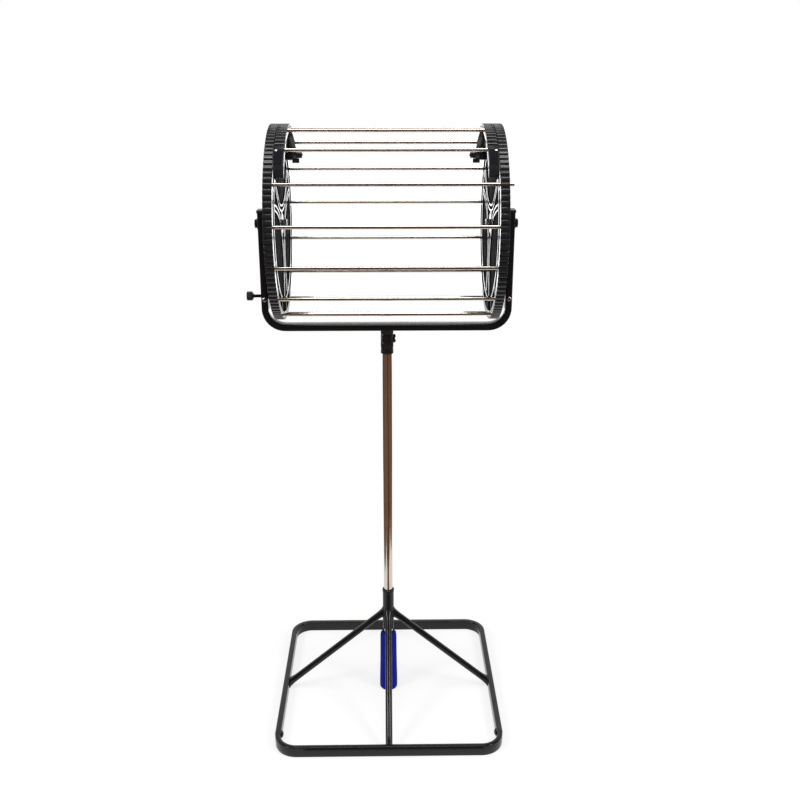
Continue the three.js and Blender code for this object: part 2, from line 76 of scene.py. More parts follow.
def addObject(name, mesh):
    piece = bpy.data.objects.new(name, mesh)
    bpy.context.collection.objects.link(piece)
    return piece


def meshFrom(name, verts, faces, angle=35):
    mesh = bpy.data.meshes.new(name)
    mesh.from_pydata([tuple(v) for v in verts], [], faces)
    return tidyMesh(mesh, angle)


# weld what coincides, point faces outwards, and keep edges past the angle sharp
def tidyMesh(mesh, angle=35):
    work = bmesh.new()
    work.from_mesh(mesh)
    bmesh.ops.remove_doubles(work, verts=work.verts, dist=1e-6)
    bmesh.ops.dissolve_degenerate(work, dist=1e-7, edges=work.edges)
    bmesh.ops.recalc_face_normals(work, faces=work.faces)
    work.to_mesh(mesh)
    work.free()
    mesh.shade_smooth()
    mesh.set_sharp_from_angle(angle=math.radians(angle))
    return mesh


# the mesh that an object comes to, with its modifiers done
def plainMesh(piece):
    return bpy.data.meshes.new_from_object(piece.evaluated_get(bpy.context.evaluated_depsgraph_get()))


def joined(name, meshes, angle=35):
    work = bmesh.new()
    for mesh in meshes:
        work.from_mesh(mesh)
    mesh = bpy.data.meshes.new(name)
    work.to_mesh(mesh)
    work.free()
    mesh.shade_smooth()
    mesh.set_sharp_from_angle(angle=math.radians(angle))
    return mesh


# a shape turned about an axis: the profile holds (radius, height) pairs in mm
def turned(profile, steps, axis="Z", centre=(0, 0, 0), name="turned"):
    closed = profile[0] == profile[-1]
    rings = profile[:-1] if closed else profile
    verts, faces, index = [], [], []
    for radius, height in rings:
        if radius < 1e-6:
            index.append([len(verts)] * steps)
            verts.append(Vector((0, 0, height)))
            continue
        index.append(list(range(len(verts), len(verts) + steps)))
        for k in range(steps):
            angle = 2 * math.pi * k / steps
            verts.append(Vector((radius * math.cos(angle), radius * math.sin(angle), height)))
    pairs = list(zip(index, index[1:] + index[:1])) if closed else list(zip(index, index[1:]))
    for low, high in pairs:
        for k in range(steps):
            n = (k + 1) % steps
            corners = []
            for v in (low[k], low[n], high[n], high[k]):
                if v not in corners:
                    corners.append(v)
            if len(corners) > 2:
                faces.append(corners)
    if axis == "X":
        verts = [Vector((v.z, v.x, v.y)) for v in verts]
    elif axis == "Y":
        verts = [Vector((v.y, v.z, v.x)) for v in verts]
    centre = Vector(centre)
    return meshFrom(name, [v * mm + centre for v in verts], faces)


def roundedSection(width, height, radius, steps=3):
    points = []
    for cx, cy, start in ((1, 1, 0), (-1, 1, 90), (-1, -1, 180), (1, -1, 270)):
        for k in range(steps + 1):
            angle = math.radians(start + 90 * k / steps)
            points.append((cx * (width / 2 - radius) + radius * math.cos(angle),
                           cy * (height / 2 - radius) + radius * math.sin(angle)))
    return points


# a mesh through rings of points, one after another, with flat ends unless it closes on itself
def stacked(name, rings, closed=False, angle=35):
    count, length = len(rings[0]), len(rings)
    faces = []
    for i in range(length if closed else length - 1):
        j = (i + 1) % length
        for k in range(count):
            n = (k + 1) % count
            faces.append([i * count + k, i * count + n, j * count + n, j * count + k])
    if not closed:
        faces.append(list(range(count)))
        faces.append([(length - 1) * count + k for k in reversed(range(count))])
    return meshFrom(name, [v for ring in rings for v in ring], faces, angle)


# a section carried along a flat path; up is the path plane's normal, sizes in mm
def swept(path, section, up, closed=False, name="swept"):
    rings, count = [], len(path)
    for i, point in enumerate(path):
        before = path[i - 1] if closed or i else point
        after = path[(i + 1) % count] if closed or i < count - 1 else point
        side = (after - before).normalized().cross(up)
        rings.append([(point + side * a + up * b) * mm for a, b in section])
    return stacked(name, rings, closed)


# a plate cut from side-view outlines (y, z about the axle), between two x values, edges rounded
def plate(outer, holes, low, high, edge):
    curve = bpy.data.curves.new("plate", "CURVE")
    curve.dimensions = "2D"
    curve.fill_mode = "BOTH"
    for ring in [outer] + holes:
        spline = curve.splines.new("POLY")
        spline.points.add(len(ring) - 1)
        for point, (u, v) in zip(spline.points, ring):
            point.co = (u * mm, v * mm, 0, 1)
        spline.use_cyclic_u = True
    curve.bevel_depth = edge * mm
    curve.bevel_resolution = 1
    curve.offset = -edge * mm
    curve.extrude = ((high - low) / 2 - edge) * mm
    holder = addObject("plate", curve)
    mesh = plainMesh(holder)
    bpy.data.objects.remove(holder)
    bpy.data.curves.remove(curve)
    turn = Matrix(((0, 0, 1, (low + high) / 2 * mm), (1, 0, 0, 0), (0, 1, 0, axle.z), (0, 0, 0, 1)))
    mesh.transform(turn)
    return tidyMesh(mesh)


# x values from near to far out on one side of the drum, the lower first
def span(side, near, far):
    return (near, far) if side > 0 else (-far, -near)


# a profile turned along X, mirrored for the left side
def sided(side, profile, steps, centre=axle):
    return turned(profile if side > 0 else [(r, -h) for r, h in profile], steps, "X", centre)


# a side of a circle pressed towards a square as the power falls below one
def pressed(value, power):
    return math.copysign(abs(value) ** power, value)


# side-view point on a circle about the axle; 0 degrees is the front, 90 the top
def rim(radius, degrees):
    angle = math.radians(degrees)
    return (-radius * math.cos(angle), radius * math.sin(angle))


def hexagon(flats, low, high, centre, chamfer=0.8):
    corner = flats / math.sqrt(3)
    profile = [(0, low), (corner - chamfer, low), (corner, low + chamfer * 0.6),
               (corner, high - chamfer * 0.6), (corner - chamfer, high), (0, high)]
    return turned(profile, 6, "X", centre, "hexagon")


# a hexagon nut with its bore, lying along X
def ringNut(flats, bore, low, high, centre):
    corner = flats / math.sqrt(3)
    profile = [(bore, low), (corner - 0.8, low), (corner, low + 0.5), (corner, high - 0.5),
               (corner - 0.8, high), (bore, high), (bore, low)]
    return turned(profile, 6, "X", centre, "nut")


def newTree(name, inputs):
    tree = bpy.data.node_groups.new(name, "GeometryNodeTree")
    tree.interface.new_socket("Geometry", in_out="OUTPUT", socket_type="NodeSocketGeometry")
    for label, kind in inputs.items():
        tree.interface.new_socket(label, in_out="INPUT", socket_type="NodeSocket" + kind)
    return tree


# coat what a tree has grown and send it out
def finishTree(tree, grown, given):
    coated = addNode(tree, "GeometryNodeSetMaterial", {"Geometry": grown.outputs[0],
                                                       "Material": given["Material"]})
    addNode(tree, "NodeGroupOutput", {"Geometry": coated.outputs[0]})
    return tree


# copies of a shape turned step by step about an axis: teeth, rods, spokes, gussets
def makeRingTree():
    tree = newTree("repeatAboutAxis", {
        "Count": "Int", "First Angle": "Float", "Step Angle": "Float", "Axis": "Vector", "Centre": "Vector",
        "Shape": "Object", "Material": "Material"})
    given = addNode(tree, "NodeGroupInput").outputs
    index = addNode(tree, "GeometryNodeInputIndex")
    turn = addNode(tree, "ShaderNodeMath", {0: index.outputs[0], 1: given["Step Angle"],
                                            2: given["First Angle"]}, operation="MULTIPLY_ADD")
    rotation = addNode(tree, "FunctionNodeAxisAngleToRotation",
                       {"Axis": given["Axis"], "Angle": turn.outputs[0]})
    points = addNode(tree, "GeometryNodePoints", {"Count": given["Count"], "Position": given["Centre"]})
    shape = addNode(tree, "GeometryNodeObjectInfo", {"Object": given["Shape"]})
    copies = addNode(tree, "GeometryNodeInstanceOnPoints", {
        "Points": points.outputs[0], "Instance": shape.outputs["Geometry"], "Rotation": rotation.outputs[0]})
    real = addNode(tree, "GeometryNodeRealizeInstances", {"Geometry": copies.outputs[0]})
    return finishTree(tree, real, given)


# beads dropped along a path, each a little different in size: weld seams
def makeSeamTree():
    tree = newTree("beadsAlongPath", {
        "Path": "Object", "Spacing": "Float", "Bead Size": "Float", "Unevenness": "Float",
        "Material": "Material"})
    given = addNode(tree, "NodeGroupInput").outputs
    path = addNode(tree, "GeometryNodeObjectInfo", {"Object": given["Path"]})
    steps = addNode(tree, "GeometryNodeResampleCurve", {"Curve": path.outputs["Geometry"],
                                                        "Length": given["Spacing"]}, mode="LENGTH")
    bead = addNode(tree, "GeometryNodeMeshIcoSphere", {"Radius": given["Bead Size"], "Subdivisions": 2})
    low = addNode(tree, "ShaderNodeMath", {0: 1.0, 1: given["Unevenness"]}, operation="SUBTRACT")
    high = addNode(tree, "ShaderNodeMath", {0: 1.0, 1: given["Unevenness"]}, operation="ADD")
    size = addNode(tree, "FunctionNodeRandomValue", {2: low.outputs[0], 3: high.outputs[0], "Seed": 7},
                   data_type="FLOAT")
    copies = addNode(tree, "GeometryNodeInstanceOnPoints", {
        "Points": steps.outputs[0], "Instance": bead.outputs["Mesh"], "Scale": size.outputs[1]})
    real = addNode(tree, "GeometryNodeRealizeInstances", {"Geometry": copies.outputs[0]})
    smooth = addNode(tree, "GeometryNodeSetShadeSmooth", {"Geometry": real.outputs[0]})
    return finishTree(tree, smooth, given)


# a screw thread wound about Z, from its foot up
def makeThreadTree():
    tree = newTree("screwThread", {
        "Turns": "Float", "Height": "Float", "Radius": "Float", "Ridge": "Float", "Material": "Material"})
    given = addNode(tree, "NodeGroupInput").outputs
    spiral = addNode(tree, "GeometryNodeCurveSpiral", {
        "Resolution": 20, "Rotations": given["Turns"], "Start Radius": given["Radius"],
        "End Radius": given["Radius"], "Height": given["Height"]})
    ridge = addNode(tree, "GeometryNodeCurvePrimitiveCircle", {"Resolution": 4, "Radius": given["Ridge"]},
                    mode="RADIUS")
    wound = addNode(tree, "GeometryNodeCurveToMesh", {
        "Curve": spiral.outputs[0], "Profile Curve": ridge.outputs[0], "Fill Caps": True})
    real = addNode(tree, "GeometryNodeRealizeInstances", {"Geometry": wound.outputs[0]})
    return finishTree(tree, real, given)


# run a tree with its named inputs and keep the plain mesh
def grow(name, tree, **values):
    host = addObject(name, bpy.data.meshes.new(name))
    modifier = host.modifiers.new(name, "NODES")
    modifier.node_group = tree
    for item in tree.interface.items_tree:
        key = item.name[0].lower() + item.name[1:].replace(" ", "")
        if item.item_type == "SOCKET" and item.in_out == "INPUT" and key in values:
            modifier[item.identifier] = values[key]
    mesh = plainMesh(host)
    host.modifiers.remove(modifier)
    bpy.data.objects.remove(host)
    return mesh


def around(name, mesh, count, first, step, material):
    shape = addObject(name + "Shape", mesh)
    grown = grow(name, ringTree, count=count, firstAngle=math.radians(first), stepAngle=math.radians(step),
                 axis=(-1, 0, 0), centre=tuple(axle), shape=shape, material=material)
    bpy.data.objects.remove(shape)
    return grown


ringTree = makeRingTree()
seamTree = makeSeamTree()
threadTree = makeThreadTree()
print("trees ready")


def newMaterial(name):
    material = bpy.data.materials.new(name)
    material.use_nodes = True
    material.node_tree.nodes.clear()
    return material, material.node_tree


# object coordinates in metres, stretched per axis: a noise scale of 1000 gives cells of a millimetre
def stretched(tree, scale):
    coords = addNode(tree, "ShaderNodeTexCoord")
    return addNode(tree, "ShaderNodeMapping", {"Vector": coords.outputs["Object"], "Scale": scale}).outputs[0]


# Black polyester powder coat over steel tube, sprayed and baked: gloss with a fine orange peel,
# a little dust dulling, and edges rubbed slightly grey.
def makePowderCoat():
    material, tree = newMaterial("blackPowderCoat")
    place = stretched(tree, (1, 1, 1))
    # dimples of 2.4 mm, dull clouds of 36 mm and grit of 0.7 mm, coarser than dust so that it shows
    peel = addNode(tree, "ShaderNodeTexNoise", {"Vector": place, "Scale": 420, "Detail": 2.0})
    clouds = {"Vector": place, "Scale": 28, "Detail": 5.0, "Roughness": 0.6}
    cloud = addNode(tree, "ShaderNodeTexNoise", clouds).outputs["Fac"]
    grit = addNode(tree, "ShaderNodeTexNoise", {"Vector": place, "Scale": 1500, "Detail": 1.0})
    edge = addNode(tree, "ShaderNodeNewGeometry").outputs["Pointiness"]
    worn = addNode(tree, "ShaderNodeValToRGB", {"Fac": edge}, stops=[(0.53, 0.0), (0.6, 1.0)])
    patch = addNode(tree, "ShaderNodeValToRGB", {"Fac": cloud}, stops=[(0.45, 0.0), (0.7, 0.55)])
    wear = addNode(tree, "ShaderNodeMath", {0: worn.outputs[0], 1: patch.outputs[0]}, operation="MULTIPLY")
    base = addNode(tree, "ShaderNodeMix", {"Factor": cloud, 6: linear("#0b0b0d"), 7: linear("#151517")},
                   data_type="RGBA")
    colour = addNode(tree, "ShaderNodeMix", {"Factor": wear.outputs[0], 6: base.outputs[2],
                                             7: linear("#3c3e42")}, data_type="RGBA")
    gloss = addNode(tree, "ShaderNodeValToRGB", {"Fac": cloud}, stops=[(0.3, 0.14), (0.75, 0.26)])
    bump = addNode(tree, "ShaderNodeBump", {"Height": peel.outputs["Fac"], "Strength": 0.08,
                                            "Distance": 0.0003})
    fine = addNode(tree, "ShaderNodeBump", {"Height": grit.outputs["Fac"], "Strength": 0.04,
                                            "Distance": 0.0002, "Normal": bump.outputs[0]})
    surface = addNode(tree, "ShaderNodeBsdfPrincipled", {
        "Base Color": colour.outputs[2], "Roughness": gloss.outputs[0], "IOR": 1.39,
        "Normal": fine.outputs[0]})
    addNode(tree, "ShaderNodeOutputMaterial", {"Surface": surface.outputs[0]})
    return material


# Moulded ABS with a spark-eroded finish: dark grey-black, semi-gloss, faint flow clouds and scuffs.
def makeAbs(name, dark, light, low, high, wear, index=1.45):
    material, tree = newMaterial(name)
    place = stretched(tree, (1, 1, 1))
    # clouds of 29 mm, scuffs 6 mm apart and grain of 0.8 mm, coarser than real so that it shows
    clouds = {"Vector": place, "Scale": 35, "Detail": 4.0, "Roughness": 0.55}
    cloud = addNode(tree, "ShaderNodeTexNoise", clouds).outputs["Fac"]
    grain = addNode(tree, "ShaderNodeTexNoise", {"Vector": place, "Scale": 1300, "Detail": 2.0})
    scuff = addNode(tree, "ShaderNodeTexVoronoi", {"Vector": place, "Scale": 160, "Randomness": 1.0},
                    feature="DISTANCE_TO_EDGE").outputs["Distance"]
    edge = addNode(tree, "ShaderNodeNewGeometry").outputs["Pointiness"]
    worn = addNode(tree, "ShaderNodeValToRGB", {"Fac": edge}, stops=[(0.52, 0.0), (0.6, wear)])
    base = addNode(tree, "ShaderNodeMix", {"Factor": cloud, 6: linear(dark), 7: linear(light)},
                   data_type="RGBA")
    colour = addNode(tree, "ShaderNodeMix", {"Factor": worn.outputs[0], 6: base.outputs[2],
                                             7: linear("#3c3e42")}, data_type="RGBA")
    gloss = addNode(tree, "ShaderNodeValToRGB", {"Fac": cloud}, stops=[(0.3, low), (0.7, high)])
    scratch = addNode(tree, "ShaderNodeValToRGB", {"Fac": scuff}, stops=[(0.0, 1.0), (0.03, 0.0)])
    height = addNode(tree, "ShaderNodeMath", {0: scratch.outputs[0], 1: -0.25, 2: grain.outputs["Fac"]},
                     operation="MULTIPLY_ADD")
    bump = addNode(tree, "ShaderNodeBump", {"Height": height.outputs[0], "Strength": 0.1,
                                            "Distance": 0.0002})
    surface = addNode(tree, "ShaderNodeBsdfPrincipled", {
        "Base Color": colour.outputs[2], "Roughness": gloss.outputs[0], "IOR": index,
        "Normal": bump.outputs[0]})
    addNode(tree, "ShaderNodeOutputMaterial", {"Surface": surface.outputs[0]})
    return material


# Stainless tube and wire, drawn then polished: a warm mirror with faint lines along its length.
def makeDrawnSteel(name, scale, tint, low, high):
    material, tree = newMaterial(name)
    # lines half a millimetre apart, coarser than polishing leaves so that they show; clouds of 22 mm
    lines = addNode(tree, "ShaderNodeTexNoise", {"Vector": stretched(tree, scale), "Scale": 1, "Detail": 3.0})
    clouds = {"Vector": stretched(tree, (1, 1, 1)), "Scale": 45, "Detail": 5.0, "Roughness": 0.65}
    cloud = addNode(tree, "ShaderNodeTexNoise", clouds).outputs["Fac"]
    gloss = addNode(tree, "ShaderNodeMapRange", {"Value": cloud, "From Min": 0.35, "From Max": 0.7,
                                                 "To Min": low, "To Max": high})
    colour = addNode(tree, "ShaderNodeMix", {"Factor": cloud, 6: linear(tint[0]), 7: linear(tint[1])},
                     data_type="RGBA")
    bump = addNode(tree, "ShaderNodeBump", {"Height": lines.outputs["Fac"], "Strength": 0.02,
                                            "Distance": 0.00002})
    surface = addNode(tree, "ShaderNodeBsdfPrincipled", {
        "Base Color": colour.outputs[2], "Metallic": 1.0, "Roughness": gloss.outputs[0],
        "Normal": bump.outputs[0]})
    addNode(tree, "ShaderNodeOutputMaterial", {"Surface": surface.outputs[0]})
    return material


# Plated steel fasteners, with a soft spangle: bright zinc, pale and slightly blue, or a black finish.
def makePlated(name, pale, deep, low, high):
    material, tree = newMaterial(name)
    place = stretched(tree, (1, 1, 1))
    # spangle of 1.4 mm, clouds of 4 mm
    spangle = addNode(tree, "ShaderNodeTexVoronoi", {"Vector": place, "Scale": 700}).outputs["Distance"]
    cloud = addNode(tree, "ShaderNodeTexNoise", {"Vector": place, "Scale": 240, "Detail": 4.0}).outputs["Fac"]
    colour = addNode(tree, "ShaderNodeMix", {"Factor": spangle, 6: linear(pale), 7: linear(deep)},
                     data_type="RGBA")
    gloss = addNode(tree, "ShaderNodeValToRGB", {"Fac": cloud}, stops=[(0.3, low), (0.75, high)])
    bump = addNode(tree, "ShaderNodeBump", {"Height": cloud, "Strength": 0.08, "Distance": 0.0002})
    surface = addNode(tree, "ShaderNodeBsdfPrincipled", {
        "Base Color": colour.outputs[2], "Metallic": 1.0, "Roughness": gloss.outputs[0],
        "Normal": bump.outputs[0]})
    addNode(tree, "ShaderNodeOutputMaterial", {"Surface": surface.outputs[0]})
    return material


# Dip-moulded PVC grip: saturated royal blue, soft gloss, a pebbled skin and hand-rubbed patches.
def makeGripVinyl():
    material, tree = newMaterial("royalBlueVinyl")
    place = stretched(tree, (1, 1, 1))
    # rubbed patches of 25 mm, pebbles of 1.1 mm
    clouds = {"Vector": place, "Scale": 40, "Detail": 5.0, "Roughness": 0.6}
    cloud = addNode(tree, "ShaderNodeTexNoise", clouds).outputs["Fac"]
    pebble = addNode(tree, "ShaderNodeTexVoronoi", {"Vector": place, "Scale": 900},
                     feature="SMOOTH_F1").outputs["Distance"]
    colour = addNode(tree, "ShaderNodeMix", {"Factor": cloud, 6: linear("#10157c"), 7: linear("#191f92")},
                     data_type="RGBA")
    gloss = addNode(tree, "ShaderNodeValToRGB", {"Fac": cloud}, stops=[(0.3, 0.48), (0.7, 0.62)])
    bump = addNode(tree, "ShaderNodeBump", {"Height": pebble, "Strength": 0.2, "Distance": 0.0003})
    surface = addNode(tree, "ShaderNodeBsdfPrincipled", {
        "Base Color": colour.outputs[2], "Roughness": gloss.outputs[0], "IOR": 1.12,
        "Normal": bump.outputs[0]})
    addNode(tree, "ShaderNodeOutputMaterial", {"Surface": surface.outputs[0]})
    return material


powderCoat = makePowderCoat()
wheelAbs = makeAbs("blackMouldedAbs", "#09090b", "#111114", 0.15, 0.24, 0.3)
panelAbs = makeAbs("blackTexturedAbs", "#151518", "#202024", 0.6, 0.75, 0.1, 1.03)
trimAbs = makeAbs("blackTrimAbs", "#09090a", "#111113", 0.28, 0.42, 0.45)
poleSteel = makeDrawnSteel("polishedTubeSteel", (2200, 2200, 12), ("#c9bfb5", "#dcd5cd"), 0.07, 0.16)
rodSteel = makeDrawnSteel("polishedWireSteel", (12, 2600, 2600), ("#d6cfc6", "#dedad4"), 0.1, 0.15)
zincPlate = makePlated("brightZincPlate", "#d2d5d7", "#a9adb0", 0.2, 0.36)
blackSteel = makePlated("blackenedSteel", "#2c2d30", "#1d1e21", 0.3, 0.45)
gripVinyl = makeGripVinyl()
print("materials ready")


def coat(piece, material):
    piece.data.materials.clear()
    piece.data.materials.append(material)


def settle(name, mesh, material, body, nodes=()):
    piece = addObject(name, mesh)
    coat(piece, material)
    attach(piece, body)
    if nodes:
        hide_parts(*nodes)
    return piece


# half of the square loop, as a path of corner points; way is -1 for the front half, 1 for the rear half
def basePath(way, end):
    sizes = {"half": 195, "corner": 35, "height": 10, "steps": 16}
    reach = sizes["half"] - sizes["corner"]
    path = [Vector((-sizes["half"], end, sizes["height"]))]
    for sx in (-1, 1):
        for k in range(sizes["steps"] + 1):
            angle = math.radians(90 * k / sizes["steps"])
            u, v = (math.cos(angle), math.sin(angle)) if sx < 0 else (math.sin(angle), math.cos(angle))
            path.append(Vector((sx * (reach + sizes["corner"] * u), way * (reach + sizes["corner"] * v),
                                sizes["height"])))
    path.append(Vector((sizes["half"], end, sizes["height"])))
    return path


def makeBase():
    rear = {"wide": 10, "tall": 20, "edge": 1.8, "end": -158.9}
    front = {"wide": 8.4, "tall": 20, "edge": 1.6, "end": -159.4}
    rearTube = swept(basePath(1, rear["end"]), roundedSection(rear["wide"], rear["tall"], rear["edge"]),
                     axisZ)
    settle("baseRear", rearTube, powderCoat, "stand", ["base_rear"])
    parts = [swept(basePath(-1, front["end"]), roundedSection(front["wide"], front["tall"], front["edge"]),
                   axisZ)]
    stub = roundedSection(7, 17, 1.2)
    parts += [swept([Vector((x, front["end"] - 2, 10)), Vector((x, rear["end"] - 0.05, 10))], stub, axisZ)
              for x in (-195, 195)]
    settle("baseFront", joined("baseFront", parts), powderCoat, "stand", ["base_front"])


# truss-head screws that hold the slip joints, on the inner sides
def makeBaseScrews():
    sizes = {"face": 189.9, "y": -150, "height": 10, "head": 6.5, "proud": 3.5, "shank": 2.2}
    face, head, proud = sizes["face"], sizes["head"], sizes["proud"]
    for word, side in sides.items():
        profile = [(0, 5.4), (sizes["shank"], 5.4), (sizes["shank"], 0.1), (head - 0.3, 0.1), (head, -0.2),
                   (head, -0.7), (head - 0.4, -1.5), (head - 1.4, -2.4), (head - 3, -3.1), (2.2, -proud),
                   (2.0, -proud), (1.5, -proud + 0.5), (1.3, -proud + 1.6), (0, -proud + 1.6)]
        shape = turned([(r, side * (face + h)) for r, h in profile], 40, "X",
                       Vector((0, sizes["y"], sizes["height"])) * mm)
        settle("baseScrew" + word.capitalize(), shape, powderCoat, "stand",
               ["base_screw_" + word])


def makeStruts():
    sizes = {"start": 8.6, "end": 189.8, "top": 162.5, "foot": 9, "halfWide": 6, "halfTall": 6, "flare": 8.9,
             "flareRun": 13, "around": 32, "reach": 190, "collar": 10.3, "floor": 0.15, "frontMore": 0.8}
    drop = (sizes["top"] - sizes["foot"]) / (sizes["reach"] - sizes["collar"])
    slope = math.sqrt(1 + drop * drop)
    stations = [0, 0.01, 0.03, 0.055, 0.08, 0.12, 0.3, 0.5, 0.7, 0.88, 0.92, 0.945, 0.97, 0.99, 1]
    names = {"right": 0, "rear": 90, "left": 180, "front": 270}
    for name, turn in names.items():
        rings = []
        end = sizes["end"] + (sizes["frontMore"] if name == "front" else 0)
        for t in stations:
            s = sizes["start"] + t * (end - sizes["start"])
            near = min(s - sizes["start"], sizes["end"] - s) / sizes["flareRun"]
            blend = max(0.0, 1 - near) ** 2 * (3 - 2 * max(0.0, 1 - near))
            tall = sizes["halfTall"] * slope * (1 - blend) + sizes["flare"] * blend
            power = 1 - 0.45 * blend
            height = sizes["top"] - drop * (s - sizes["collar"])
            ring = []
            for k in range(sizes["around"]):
                angle = 2 * math.pi * k / sizes["around"]
                across = pressed(math.cos(angle), power) * sizes["halfWide"]
                up = pressed(math.sin(angle), power) * tall
                ring.append(Vector((s, across, max(height + up, sizes["floor"]))) * mm)
            rings.append(ring)
        mesh = stacked("strut", rings)
        mesh.transform(Matrix.Rotation(math.radians(turn), 4, "Z"))
        settle("strut" + name.capitalize(), mesh, powderCoat, "stand", ["strut_" + name])


# weld seams round the struts' ends, at the collar and at the loop
def makeWelds():
    sizes = {"spacing": 1.5, "bead": 1.35, "unevenness": 0.22, "halfWide": 6.2, "halfTall": 8.8, "top": 162.5,
             "foot": 9, "reach": 190, "collar": 10.3, "power": 0.6, "points": 40}
    drop = (sizes["top"] - sizes["foot"]) / (sizes["reach"] - sizes["collar"])
    beads = []
    for turn in (0, 90, 180, 270):
        for atCollar in (True, False):
            curve = bpy.data.curves.new("weldPath", "CURVE")
            curve.dimensions = "3D"
            spline = curve.splines.new("POLY")
            count = sizes["points"]
            spline.points.add(count - 1)
            for k in range(count):
                angle = 2 * math.pi * k / count
                across = pressed(math.cos(angle), sizes["power"]) * sizes["halfWide"]
                up = pressed(math.sin(angle), sizes["power"]) * sizes["halfTall"]
                s = sizes["reach"] - 0.4
                if atCollar:
                    s = math.sqrt(max(sizes["collar"] ** 2 - across ** 2, 0)) + 0.2
                height = max(sizes["top"] - drop * (s - sizes["collar"]) + up, sizes["bead"] * 1.25)
                place = Matrix.Rotation(math.radians(turn), 4, "Z") @ Vector((s, across, height))
                spline.points[k].co = (*(place * mm), 1)
            spline.use_cyclic_u = True
            path = addObject("weldPath", curve)
            beads.append(grow("weldBeads", seamTree, path=path, spacing=sizes["spacing"] * mm,
                              beadSize=sizes["bead"] * mm, unevenness=sizes["unevenness"],
                              material=powderCoat))
            bpy.data.objects.remove(path)
    settle("strutWelds", joined("strutWelds", beads, 60), powderCoat, "stand")


def makeCollar():
    sizes = {"radius": 10.3, "bore": 9, "low": 130, "top": 210.8}
    r, b, low, top = sizes["radius"], sizes["bore"], sizes["low"], sizes["top"]
    profile = [(b, low + 0.5), (b + 0.5, low), (r - 0.5, low), (r, low + 0.5), (r, top - 6),
               (r + 0.15, top - 3.6), (r + 0.5, top - 1.8), (r + 0.6, top - 1), (r + 0.4, top - 0.2),
               (r, top), (b + 0.4, top), (b, top - 0.4), (b, low + 0.5)]
    settle("standCollar", turned(profile, 64), powderCoat, "stand", ["stand_collar"])
    bush = [(8.3, top - 16), (8.8, top - 16), (8.8, top + 0.2), (10.7, top + 0.2), (10.9, top + 0.6),
            (10.8, top + 1.5), (10.2, top + 2), (9.2, top + 2.1), (8.4, top + 1.4), (8.3, top - 16)]
    settle("collarBush", turned(bush, 64), trimAbs, "stand", ["collar_bush"])


makeBase()
makeBaseScrews()
makeStruts()
makeWelds()
makeCollar()
print("stand ready")


def makePole():
    sizes = {"radius": 8, "inner": 7, "foot": 10.4, "top": 700}
    r, i, foot, top = sizes["radius"], sizes["inner"], sizes["foot"], sizes["top"]
    profile = [(i, foot), (r, foot)]
    steps = 24
    profile += [(r, foot + (top - foot) * k / steps) for k in range(1, steps)]
    profile += [(r, top - 0.4), (r - 0.4, top), (i, top), (i, foot)]
    settle("poleTube", turned(profile, 96), poleSteel, "carrier", ["pole_tube"])


def makeGrip():
    sizes = {"top": 119.8, "foot": 16.5, "bore": 8.25, "floor": 10.1}
    top, foot, bore, floor = sizes["top"], sizes["foot"], sizes["bore"], sizes["floor"]
    profile = [(0, 0), (13, 0), (14.6, 0.3), (15.7, 1.1), (16.3, 2.3), (foot, 4), (foot, 9), (foot, 16),
               (16.35, 28), (16, 42), (15.7, 56), (15.5, 72), (15.35, 88), (15.25, 102), (15.15, 112),
               (14.9, 116), (14.5, 118), (13.6, 119.3), (12.4, top), (9.4, top), (8.7, 119.2), (bore, 118),
               (bore, floor), (0, floor)]
    settle("poleGrip", turned(profile, 96), gripVinyl, "carrier", ["pole_grip"])


makePole()
makeGrip()
print("pole ready")


armMiddle = 201.5


def makeYoke():
    sizes = {"half": armMiddle, "bend": 32.5, "low": -171.4, "top": 17, "thick": 11, "deep": 24, "edge": 2.4}
    bend = sizes["bend"]
    path = [Vector((-sizes["half"], 0, axleHeight + sizes["top"]))]
    path += [Vector((-sizes["half"], 0, axleHeight + sizes["top"] - t)) for t in (4, 60)]
    for cx, start in ((-sizes["half"] + bend, 180), (sizes["half"] - bend, 270)):
        for k in range(13):
            angle = math.radians(start + 90 * k / 12)
            height = axleHeight + sizes["low"] + bend + bend * math.sin(angle)
            path.append(Vector((cx + bend * math.cos(angle), 0, height)))
    path += [Vector((sizes["half"], 0, axleHeight + sizes["top"] - t)) for t in (60, 4, 0)]
    section = roundedSection(sizes["thick"], sizes["deep"], sizes["edge"], 4)
    settle("yokeFrame", swept(path, section, axisY), powderCoat, "carrier", ["yoke_frame"])


def makeSocket():
    sizes = {"top": 706.7, "low": 665.3, "radius": 10.7, "bore": 8.3}
    top, low, r, b = sizes["top"], sizes["low"], sizes["radius"], sizes["bore"]
    profile = [(b, low), (r - 1.8, low), (r - 0.6, low + 0.8), (r, low + 2.4), (r, low + 8),
               (r - 0.4, low + 8.6), (r - 0.4, low + 11), (r, low + 11.6), (r, top - 8), (r - 0.4, top - 7.4),
               (r - 0.4, top - 6), (r, top - 5.4), (r, top - 0.2), (r - 0.4, top), (b, top), (b, low)]
    settle("yokeSocket", turned(profile, 64), trimAbs, "carrier", ["yoke_socket"])


